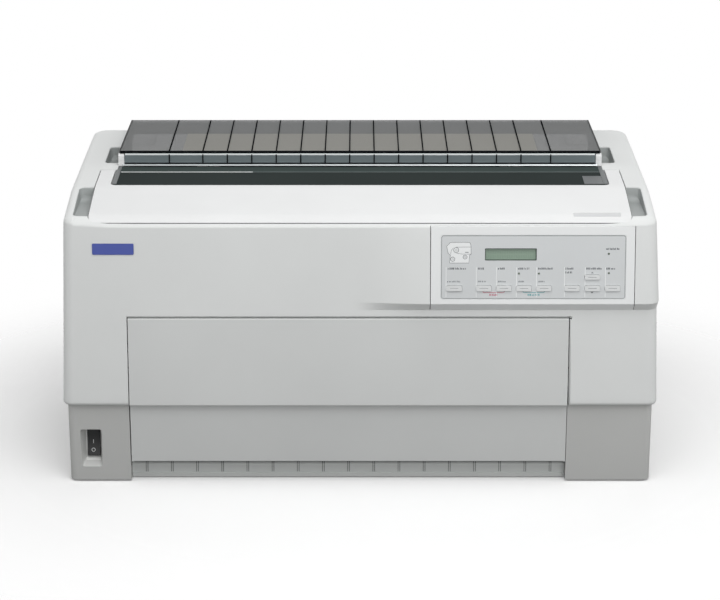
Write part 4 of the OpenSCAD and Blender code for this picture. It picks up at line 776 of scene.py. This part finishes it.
for x0, x1, ink in ((142.5, 167.4, ink_red), (188.9, 214.0, ink_teal)):
    marks.append((stroke([(x0, 15.2), (x0 + 0.2, 14.4), (x0 + 1.4, 13.7), (x1 - 1.4, 13.7),
                          (x1 - 0.2, 14.4), (x1, 15.2)], 0.7), ink))
for h, way in ((37.0, 1), (13.8, -1)):
    marks.append((printed([(267.3, h - way * 0.7), (270.7, h - way * 0.7), (269, h + way * 0.9)]),
                  ink_dark))
section = round_corners([(103.6, 48.4), (125.9, 48.4), (126.8, 58), (128.4, 58.6), (128.4, 67.4),
                         (127.4, 72.6), (104.5, 72.6), (100.2, 68), (101.8, 60), (104.6, 57.5)],
                        [0, 0, 1, 1, 1, 2.4, 3, 2, 1.5, 1])
marks.append((printed(section, 0.05), ink_white))
marks.append((stroke(np.concatenate([section, section[:1]]), 0.45), ink_dark))
for x, h, r in ((111.2, 63.6, 2.9), (107.2, 52.9, 2.5), (121.5, 55.4, 2.3)):
    a = np.linspace(0, 2 * math.pi, 25)
    for radius, width, ink in ((r, 0.55, ink_dark), (r * 0.4, 0.35, ink_grey)):
        roller = np.column_stack([x + radius * np.cos(a), h + radius * np.sin(a)])
        marks.append((stroke(roller, width), ink))
for path, width, ink in (
        ([(111, 66.9), (120, 67.1), (128.8, 67.1)], 0.4, ink_dark),
        ([(111.5, 59.9), (118, 58.9), (128.8, 58.8)], 0.4, ink_dark),
        ([(108.3, 66.3), (105.9, 64), (105.2, 61), (104.9, 58.5)], 0.4, ink_dark),
        ([(121.5, 60.9), (125.6, 60.9)], 0.9, ink_grey)):
    marks.append((stroke(path, width), ink))
piece("panel_print", "case", *marks, slot="bezel")


# Display
# Green liquid crystal glass behind a clear window, set back in a dark well. Its two lines of 20
# cells show faintly.
def merged(*solids):
    """Several solids as one set of points and faces."""
    points, faces, base = [], [], 0
    for p, f in solids:
        points.append(np.asarray(p, float))
        faces += [[v + base for v in face] for face in f]
        base += len(p)
    return np.concatenate(points), faces


well = coat("display_well", (74, 86, 80), 0.5)
glass = coat("display_glass", (138, 160, 142), 0.3, wander=0.03)
cell_green = coat("display_cells", (132, 154, 137), 0.3)
well_walls = cut(on_panel(block(144.6, 204.4, 0.3, 5.2, 51.4, 65.5, 0.9, "y")),
                 on_panel(block(145.4, 203.6, -1, 4.4, 52.1, 64.8)))
lcd = soften(on_panel(block(145.3, 203.7, 3.2, 4.6, 52.0, 64.9)), 0.3)
CELL_LEFT, CELL_TOP, CELL_PITCH, LINE_PITCH = 147.8, 59.2, 2.72, 5.2
cells = [on_panel(block(x, x + 2.1, 3.12, 3.2, h, h + 3.4))
         for h in CELL_TOP - LINE_PITCH * np.arange(2)
         for x in CELL_LEFT + CELL_PITCH * np.arange(20)]
piece("display", "case", (well_walls, well), (lcd, glass), (merged(*cells), cell_green),
      replaces=("lcd_window",), slot="display")


# Indicator lamps
# Small round light pipes of clear plastic, flush with the film and unlit. Each has a shoulder
# behind the panel that holds it.
lamp_clear = coat("lamp_clear", (96, 110, 92), 0.25, specular=0.6)
lamps = [on_panel(turned([(-0.15, 0.2), (-0.1, 0.7), (0.15, 1.1), (4.2, 1.15), (4.3, 2.1),
                          (7, 2.1)], (x, 0, h), "y", 20)) for x, h in LAMP_SPOTS]
piece("lamps", "case", *[(lamp, lamp_clear) for lamp in lamps], replaces=("indicator_lamps",),
      slot="lamp")


# Buttons
# Moulded caps with soft corners and a shallow dash in the middle for the fingertip, each with
# a flange behind the panel that holds it.
DASH_HALF = 5
button_plastic = coat("button_plastic", (224, 226, 226), 0.45, grain=0.3)
# the dash's floor is a darker grey: painted shade of the dash
dash_painted_shade = coat("button_dash_painted_shade", (168, 171, 172), 0.5)
for name, x, mid, wide, tall in BUTTONS:
    x0, x1, h0, h1 = button_edges(x, mid, wide, tall)
    cap = block(x0, x1, -1.6, 6, h0, h1, 1.6, "y")
    groove = block(x - DASH_HALF, x + DASH_HALF, -3, -1.25, mid - 0.35, mid + 0.35, 0.3, "y")
    flange = block(x0 - 1, x1 + 1, 4.3, 5.8, h0 - 1, h1 + 1, 1, "y")
    # a thin dark strip at the dash's floor: painted shade
    seat = block(x - DASH_HALF, x + DASH_HALF, -1.3, -1.2, mid - 0.4, mid + 0.4)
    piece(name + "_cap", name, (on_panel(soften(cut(cap, groove), 0.45, 50)), button_plastic),
          (on_panel(flange), button_plastic), (on_panel(seat), dash_painted_shade),
          replaces=(name,), slot="button")


# Blue plate
# A small plate of blue anodised aluminium, glued into a shallow seat at the left. It is bare, and
# leans with the front.
badge_blue = coat("badge_blue", (70, 86, 168), 0.35, wander=0.04, specular=0.6)
face = float(face_y(BADGE_Z))
p, faces = soften(block(-310, -262, face - 0.8, face + 0.8, 283, 296, 1.2, "y"), 0.3, 50)
p[:, 1] += (p[:, 2] - BADGE_Z) * LEAN
piece("badge", "case", ((p, faces), badge_blue), replaces=("badge_plate",), slot="badge_blue")


# Smoked window of the top cover
# Grey acrylic, 2.5 mm thick, glued into the cover's rear half. Its two ends turn up against
# the cover's arms, and its rear part runs back under the tear bar.
PANE_HALF, PANE_FRONT, PANE_JOINT, PANE_REAR, PANE_THICK = 296.9, -78, -17.7, 8, 2.5
CLEAR_HALF = 287
smoke_dark = coat("smoke_dark", (60, 66, 65), 0.5, wander=0.05, specular=0.0, alpha=0.93)
smoke_rear = coat("smoke_rear", (74, 84, 82), 0.5, wander=0.05, specular=0.0, alpha=0.93)
smoke_end = coat("smoke_end", (112, 116, 117), 0.35, wander=0.05, specular=0.3, alpha=0.8)
smoke_line = coat("smoke_line", (106, 114, 114), 0.4, specular=0.1)
# a light copy for the joint line's left part: painted highlight
joint_line_painted_highlight = coat("joint_line_painted_highlight", (242, 246, 246), 0.4)


def on_pane(*steps):
    """Side view of a strip on the pane: each step (y, up) lies that far above the pane's face,
    which is 0.6 mm under the cover's top."""
    return [(y, float(top_z(y)) - 0.6 + up) for y, up in steps]


def window_sheet(y0, y1, radii):
    """The part of the pane between y0 and y1, with its four corner radii."""
    slab = prism(on_pane((y0, 0), (y1, 0), (y1, -PANE_THICK), (y0, -PANE_THICK)),
                 -PANE_HALF, PANE_HALF)
    plan = prism(round_corners(rectangle(-PANE_HALF, PANE_HALF, y0, y1), radii), 280, OVERHEAD, "z")
    return soften(cut(slab, plan, keep="INTERSECT"), 0.4, 50)


def joint_line(x0, x1, lift=0.0):
    """The raised line along the joint of the pane's two tones, from x0 to x1."""
    return prism(on_pane((-18.6, lift - 0.1), (-18.2, lift + 0.3), (-17.2, lift + 0.3),
                         (-16.8, lift - 0.1)), x0, x1)


ends = []
for s in (-1, 1):
    x0, x1 = sorted((s * 290.5, s * 296.7))
    end = prism(on_pane((-72, -0.2), (8, -0.2), (8, 0.5), (-70, 0.5)), x0, x1)
    ends.append(soften(end, 0.4, 40))
patch = prism(on_pane((-71, 0.02), (-36, 0.02), (-36, 0.12), (-71, 0.12)), 268, 290.4)
rim = prism([(-84, 334.0), (-84, 337.2), (-78, 337.3), (-74, 337.4), (-74, 334.2)],
            -CLEAR_HALF, CLEAR_HALF)
# the joint line's left part is lighter: painted highlight
piece("smoked_window", "top_cover",
      (window_sheet(PANE_FRONT, PANE_JOINT, [7, 7, 0, 0]), smoke_dark),
      (window_sheet(PANE_JOINT, PANE_REAR, 0), smoke_rear),
      (joint_line(-130, 292), smoke_line), (joint_line(-290, -130, 0.02), joint_line_painted_highlight),
      (rim, smoke_dark), *[(e, smoke_end) for e in ends], (patch, smoke_end),
      replaces=("cover_window",), slot="smoke")


# Paper eject cover
# A ribbed hood in the same smoked acrylic over the rear tractors, hinged at the back. Fan-fold
# paper slides over its ribs, which run on down its front skirt. The part over the tractors is
# milky. A light strip along its front edge is a painted highlight, the glint on that edge.
smoke_top = coat("smoke_top", (106, 108, 108), 0.42, wander=0.04, specular=0.12, alpha=0.75)
smoke_front = coat("smoke_front", (120, 131, 134), 0.3, wander=0.04, specular=0.3, alpha=0.85)
smoke_rib = coat("smoke_rib", (22, 24, 26), 0.7, specular=0.0)
# a light strip along the hood's front edge: painted highlight
smoke_painted_highlight = coat("smoke_painted_highlight", (226, 232, 232), 0.25, specular=0.6)
smoke_lined = coat("smoke_lined", (130, 129, 123), 0.45, specular=0.12, alpha=0.92)
HOOD_HALF, HOOD_WALL, HOOD_PIN_Y, HOOD_PIN_Z = 294.7, 2.5, 176, 342.17
HOOD_LINE = [(8, 346.5), (8.2, 358.2), (9.6, 360), (12.3, 361), (188.5, 361), (190, 359.5),
             (190, 342.2)]
hood = prism(round_corners(HOOD_LINE + [(187.5, 342.2), (187.5, 358.5), (13, 358.5),
                                        (11, 356.5), (10.5, 346.5)],
                           [0.3, 0, 0, 0, 1.5, 1.5, 0.5, 0.5, 1, 1, 1, 0.5], 3),
             -HOOD_HALF, HOOD_HALF)
side_wall = round_corners(HOOD_LINE + [(184, 338.2), (17, 338.2), (9, 346.5)],
                          [0, 0, 0, 0, 1.5, 1.5, 2, 3, 6, 0], 3)
hood_sides = [prism(side_wall, *sorted((s * (HOOD_HALF - HOOD_WALL), s * HOOD_HALF)))
              for s in (-1, 1)]
cap_room = [block(*sorted((s * 287.7, s * 296)), 4, 10.5, 328, 380) for s in (-1, 1)]
hood = soften(cut(hood, *cap_room), 0.4, 50)
hood_sides = [soften(cut(w, *cap_room), 0.5, 50) for w in hood_sides]
rib_at = [-233] + [-192 + 29.9 * k for k in range(14)] + [233]
top_rib = [(12.6, 360.6), (12.6, 361.9), (184, 361.9), (187, 360.8)]
skirt_rib = [(7.2, 347.4), (7.4, 357.8), (8.6, 357.8), (8.6, 347.4)]
hood_ribs = [prism(rib, x - 0.75, x + 0.75) for rib in (top_rib, skirt_rib) for x in rib_at]
painted_highlight_edge = prism([(7.6, 356.8), (7.8, 358.9), (9.6, 358.9), (9.6, 356.8)],
                    -CLEAR_HALF, CLEAR_HALF)
dark_edge = prism([(7.8, 358.95), (8.6, 361.0), (9.8, 361.3), (12.6, 361.3), (12.6, 358.95)],
                  -293, 293)
foot_line = prism([(7.8, 346.3), (7.8, 347.3), (8.2, 347.3), (8.2, 346.3)],
                  -CLEAR_HALF, CLEAR_HALF)
frame_lines = []
for s in (-1, 1):
    x0, x1 = sorted((s * 256, s * 285))
    frame_lines += [block(x0, x1, y, y + 1.2, 358.1, 358.4) for y in (58, 148)]
    frame_lines.append(block(s * 256 - 0.5, s * 256 + 0.5, 58, 149, 358.1, 358.4))
pins = [turned([(-3.4, 2.6), (-3, 3), (3, 3), (3.4, 2.6)], (s * 297.2, HOOD_PIN_Y, HOOD_PIN_Z),
               n=24) for s in (-1, 1)]
lining = block(-217, 217, 14, 108, 355, 361.6)
front_room = block(-400, 400, 0, 11.6, 300, 358.1)
piece("eject_hood", "eject_cover", (cut(hood, front_room, lining), smoke_top),
      (cut(hood, front_room, keep="INTERSECT"), smoke_front),
      *[(w, smoke_top) for w in hood_sides], *[(r, smoke_rib) for r in hood_ribs],
      *[(pin, smoke_top) for pin in pins], (painted_highlight_edge, smoke_painted_highlight), (dark_edge, smoke_rib),
      (foot_line, smoke_rib), (cut(hood, lining, keep="INTERSECT"), smoke_lined),
      *[(m, smoke_line) for m in frame_lines], replaces=("eject_cover",), slot="smoke")


# Tear bar
# A thin strip of brushed stainless steel under the hood's front skirt. Its sloping front edge
# is the blade that paper is torn against.
steel_brushed = coat("steel_brushed", (196, 201, 202), 0.3, grain=0.3, grain_size=0.6,
                     metallic=1.0, streak=(0.02, 1, 1))
blade = soften(prism([(8, 346.4), (5.6, 345.4), (5.4, 343.9), (11.5, 345), (11.5, 346.4)],
                     -290, 290), 0.2, 30)
piece("tear_blade", "eject_cover", (blade, steel_brushed), replaces=("tear_bar",),
      slot="tear_steel")


# End caps of the hood
# White clips with a rounded upper front edge that close the front corners of the hood and carry
# the tear bar.
CAP_X, CAP_HALF = 291.7, 3.6
cap_line = [(11 + 4 * math.cos(a), 355 + 4 * math.sin(a))
            for a in np.linspace(math.pi, math.pi / 2, 7)] + [(16.4, 359), (16.4, 344), (7, 343)]
caps = []
for s in (-1, 1):
    cap = soften(prism(cap_line, s * CAP_X - CAP_HALF, s * CAP_X + CAP_HALF), 0.8, 40)
    caps.append(cut(cap, block(s * CAP_X - 5, s * CAP_X + 5, 5, 7.9, 350.4, 351.2)))
piece("hood_end_caps", "eject_cover", *[(c, cover_plastic) for c in caps],
      replaces=("eject_end_caps",), slot="cover")


# Front cover
# A tall flap hinged at its foot, behind which fan-fold paper is loaded on the front tractors.
# Its upper part lies flush with the housing, its lower part with the set-back lower case.
CASE_FRONT, CASE_LEAN = -172, 8 / 99
FLAP_LEFT, FLAP_RIGHT, FLAP_PIN_Y, FLAP_PIN_Z = -271.2, 243.8, -165.67, 33.5
# darker than the housing plastic: painted shade low on the front
door_plastic = coat("door_plastic", (221, 223, 222), 0.55, grain=0.6)


def case_face_y(z):
    """Depth of the lower case's front at height z: it leans out 8 mm over 99, from -172."""
    return CASE_FRONT - CASE_LEAN * z


def on_front(line_y, *steps):
    """Side view along a leaning front: each step (z, back, height) starts from the front's
    depth at z, lies that far behind it, and stands at its own height."""
    return [(float(line_y(z)) + back, height) for z, back, height in steps]


flap_line = (on_front(face_y, (206, 0, 206), (101, 0, 101), (99, 1, 99))
             + on_front(case_face_y, (98.6, 0, 98.4), (26, 0, 26), (26, 3, 26), (99, 3, 102))
             + on_front(face_y, (99, 3, 105), (206, 3, 203), (206, 12, 203), (206, 12, 206)))
flap = prism(round_corners(flap_line, [1, 1.6, 1, 0.4, 1, 0.5, 1, 2, 2, 0.5, 0.8], 4),
             FLAP_LEFT, FLAP_RIGHT)
arm_line = round_corners(
    on_front(case_face_y, (26, 0, 26), (98, 0, 98)) + [(-180, 99.2)]
    + on_front(face_y, (99, 1.2, 99.4), (204, 0.6, 204), (206, 8, 204), (99, 12, 99))
    + [(-158.7, 36.5), (-158.9, 31), (-161, 28.2), (-165.7, 26.6)],
    [0, 0, 0, 0, 1, 1, 8, 4, 3, 3, 3], 3)
arms = []
for x0, pin0, pin1 in ((FLAP_LEFT, -275.8, -270), (FLAP_RIGHT - 3, 242, 247.8)):
    arms.append(prism(arm_line, x0, x0 + 3))
    arms.append(turned([(0, 2.6), (0.4, 3), (pin1 - pin0 - 0.4, 3), (pin1 - pin0, 2.6)],
                       (pin0, FLAP_PIN_Y, FLAP_PIN_Z), "x", 28))
stiffener_line = round_corners(on_front(face_y, (104, 2, 104), (204, 2, 204), (204, 9, 204),
                                        (104, 9, 106)), [0, 0, 2, 3], 3)
stiffeners = [prism(stiffener_line, x, x + 2) for x in np.arange(-168.2, 184, 103)]
piece("front_flap", "front_cover", (soften(flap, 0.7, 50), door_plastic),
      *[(a, door_plastic) for a in arms + stiffeners], replaces=("front_cover",),
      slot="door_plastic")


# Lower case
# The tub that carries the machine. It stands back 5 mm under the housing, has two legs at the
# front with a bay between them, and a sloped recess for the power switch in its left leg.
# darker than the housing plastic: partly its own tone, partly painted shade near the floor
case_plastic = coat("case_plastic", (205, 206, 204), 0.55, grain=0.6)
# a lighter film on the switch recess's lower lip: painted light on its up-facing slope
lip_film_painted_light = coat("recess_lip_painted_light", (232, 233, 231), 0.45)


def case_rings(inset=0.0, lift=0.0):
    """Rounded rectangles, 690 mm wide, from the foot up to the joint at 99 mm; the front wall
    leans out 8 mm on the way."""
    rings = []
    for z, back in ((1.5, 1.2), (1.85, 0.35), (2.7, 0), (30, 0), (60, 0), (99, 0)):
        b = inset if inset else back
        half, y1 = 345 - b, 186 - b
        ring = round_corners(rectangle(-half, half, case_face_y(z) + b, y1), 8 - min(inset, 3), 8)
        rings.append(np.column_stack([ring, np.full(len(ring), z + lift)]))
    return rings


SWITCH_Y = case_face_y(17.3) + 11
MOUTH, FLOOR = (-331.4, -306.0, 17.3, 67.3), (-326.2, -307.4, 27.4, 63.5)


def upright_ring(y, edges, r, grow=0.0):
    """A rectangle of x and z at depth y, grown all round, its corners rounded."""
    x0, x1, z0, z1 = edges
    corners = rectangle(x0 - grow, x1 + grow, z0 - grow, z1 + grow)
    return [(x, y, z) for x, z in round_corners(corners, r)]


recess = loft([upright_ring(-190.0, MOUTH, 3, 0.9), upright_ring(-176.6, MOUTH, 3),
               upright_ring(SWITCH_Y, FLOOR, 2)])
keep_walls = [block(-276, -272.5, -300, -112, 0, 200), block(244.5, 248, -300, -112, 0, 200),
              block(-333.4, -304, -300, -150, 14.3, 70.3)]
hollow = cut(loft(case_rings(3.5, 3.0)), *keep_walls)
bay = block(-272.5, 244.5, -300, -148, -1, 300)
switch_hole = block(-324.7, -308.9, SWITCH_Y - 2, SWITCH_Y + 14, 28.9, 62.2)
inlet_hole = block(-254.2, -225.8, 176, 300, 35.8, 56.2)
socket_hole = block(64, 246, 176, 300, 28, 70)
floor_slots = [block(-110 + i * 20, -102 + i * 20, -60, 30, -1, 6, 3.9) for i in range(12)]
foot_holes = [turned([(-20, 4.1), (20, 4.1)], (x, y, 0), "z", 24)
              for x in (-315, 315) for y in (-146, 160)]
tub = soften(cut(loft(case_rings()), hollow, bay, recess, switch_hole, inlet_hole, socket_hole,
                 *floor_slots, *foot_holes), 0.8, 50)
# the film over the lip is painted light
lip_front = case_face_y(18.6) + 0.6
lip = loft([[(-330.4, lip_front, 18.6 + up), (-307.0, lip_front, 18.6 + up),
             (-308.2, SWITCH_Y - 0.15, 27.6 + up), (-325.4, SWITCH_Y - 0.15, 27.6 + up)]
            for up in (0, 0.25)])
piece("case_tub", "case", (tub, case_plastic), (lip, lip_film_painted_light), replaces=("lower_case",),
      slot="case_plastic")


# Paper entry strip
# A grey moulding across the bay between the legs, which leads paper in under the front cover.
# It has a groove along its face and pairs of thin ribs above the groove.
entry_grey = coat("entry_strip", (226, 229, 227), 0.5)
# the thin ribs are coloured dark grey: painted shade beside each rib
rib_painted_shade = coat("strip_rib_painted_shade", (120, 123, 122), 0.5)
GROOVE_TOP, RIB_LEFT, RIB_PITCH = 8.2, -224.5, 30.12
lo, hi = (np.array(c) * 1000 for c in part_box("paper_entry_strip"))


def strip_line(proud=0.0):
    """Side view of the strip's face from the groove to the rear edge, with a rounded shoulder,
    (5 - 5 cos a, 5 sin a - 5) from its corner."""
    y0, top = lo[1] + 0.6 - proud, hi[2] - 1 + proud
    bend = [(y0 + 5 - 5 * math.cos(a), top - 5 + 5 * math.sin(a))
            for a in np.linspace(0, math.pi / 2, 6)]
    return [(y0, GROOVE_TOP)] + bend + [(hi[1], top)]


strip_face = [(hi[1], lo[2]), (lo[1] + 1.2, lo[2]), (lo[1] + 0.6, 6.4), (lo[1] + 2.2, 6.7),
              (lo[1] + 2.2, 7.9)] + strip_line()
strip = soften(prism(strip_face, lo[0], hi[0]), 0.25, 60)
rib_line = [(hi[1], GROOVE_TOP)] + strip_line(0.5)
strip_ribs = [prism(rib_line, x - 0.3, x + 0.3) for i in range(-1, 16)
              for x in (RIB_LEFT + RIB_PITCH * i - 1.05, RIB_LEFT + RIB_PITCH * i + 1.05)]
piece("entry_strip", "case", (strip, entry_grey), *[(r, rib_painted_shade) for r in strip_ribs],
      replaces=("paper_entry_strip",), slot="entry_plastic")


# Power switch
# A black rocker in the recess, pressed in at its foot when the machine is on, with the line and
# the ring that every such switch carries.
ROCKER_FOOT, ROCKER_TALL, MARK_PROUD = 30.4, 31.1, 0.03
black_plastic = coat("black_plastic", (28, 29, 30), 0.4, grain=0.3)
mark_white = coat("mark_white", (214, 216, 216), 0.5)


def rocker_y(z):
    """Depth of the rocker's face at height z: it leans back 3.4 mm over its height, and bends
    back by 1.5 sin(pi t) in between."""
    t = (z - ROCKER_FOOT) / ROCKER_TALL
    return SWITCH_Y - 3.6 + 3.4 * t + 1.5 * np.sin(math.pi * t)


def ring_mark(x, z, r, width):
    """A flat ring of 32 parts that follows the rocker's face."""
    a = np.linspace(0, 2 * math.pi, 33)[:-1]
    rings = []
    for q in (r - width / 2, r + width / 2):
        height = z + q * np.sin(a)
        rings.append(np.column_stack([x + q * np.cos(a), rocker_y(height) - MARK_PROUD, height]))
    return loft(rings, capped=False)


heights = np.linspace(ROCKER_FOOT, ROCKER_FOOT + ROCKER_TALL, 9)
rocker_line = [(SWITCH_Y + 1, 31.4), *zip(rocker_y(heights), heights), (SWITCH_Y + 3, 60.5),
               (SWITCH_Y + 9, 51), (SWITCH_Y + 9, 41)]
rocker = soften(prism(rocker_line, -324.2, -309.4), 0.5, 40)
pivot = turned([(-10.4, 1.5), (10.4, 1.5)], (-316.8, SWITCH_Y + 6, 45.95), "x", 20)
bar = prism([(rocker_y(z) + out - MARK_PROUD, z)
             for z, out in ((45.0, -0.05), (49.6, -0.05), (49.6, 0.1), (45.0, 0.1))],
            -317.85, -317.15)
piece("rocker", "power_rocker", (rocker, black_plastic), (pivot, black_plastic),
      (bar, mark_white), (ring_mark(-317.5, 37.2, 2.0, 0.7), mark_white),
      replaces=("power_rocker",), slot="black_plastic")


# Carried-over parts of the mechanism
# These keep the drawing's shapes and get the finish of the real ones: zinc-plated sheet,
# ground rods, painted motors, acetal gears, glass-filled tractor bodies.
zinc = coat("zinc_sheet", (176, 181, 184), 0.38, grain=0.3, grain_size=2.5, wander=0.06,
            metallic=1.0)
ground = coat("ground_steel", (206, 210, 212), 0.2, grain=0.2, grain_size=0.5, metallic=1.0,
              streak=(1, 0.05, 0.05))
painted = coat("painted_guide", (138, 141, 142), 0.5, grain=0.5)
acetal = coat("acetal", (226, 226, 220), 0.4, grain=0.2)
brass = coat("brass", (196, 162, 84), 0.3, grain=0.2, metallic=1.0)
belt = coat("belt_rubber", (30, 30, 31), 0.7, grain=1.0)
rubber = coat("rubber", (46, 46, 48), 0.75, grain=1.0)
motor_paint = coat("motor_paint", (52, 55, 58), 0.45, grain=0.6, metallic=0.3)
board_green = coat("board_green", (42, 98, 66), 0.35, grain=0.2, wander=0.08)
cast = coat("cast_alloy", (128, 132, 135), 0.42, grain=1.2, grain_size=1.6, metallic=0.9)
blue = coat("knob_blue", (60, 108, 170), 0.4, grain=0.3)

finishes = (
    (zinc, ("base_plate", "side_frame_left", "side_frame_right", "power_supply", "drive_pulley",
            "idler_pulley", "interface_panel")),
    (ground, ("guide_rods", "front_drive_shaft", "rear_drive_shaft")),
    (painted, ("front_paper_guide", "rear_paper_guide")),
    (rubber, ("rubber_feet", "platen")),
    (belt, ("carriage_belt", "tractor_belt")),
    (motor_paint, ("carriage_motor", "feed_motor")),
    (dark_plastic, ("carriage", "ribbon_cartridge")),
    (acetal, ("platen_gear",)), (brass, ("feed_pinion",)), (cast, ("print_head",)),
    (blue, ("ribbon_knob",)), (board_green, ("main_board",)), (black_plastic, ("ac_inlet",)))
finish = {name: kind for kind, names in finishes for name in names}
for name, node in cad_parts.items():
    kind = finish.get(name)
    if kind is None and "sprocket" in name:
        kind = acetal
    elif kind is None and ("tractor" in name or "gate" in name):
        kind = dark_plastic
    if kind is not None:
        for s in node.material_slots:
            s.material = kind
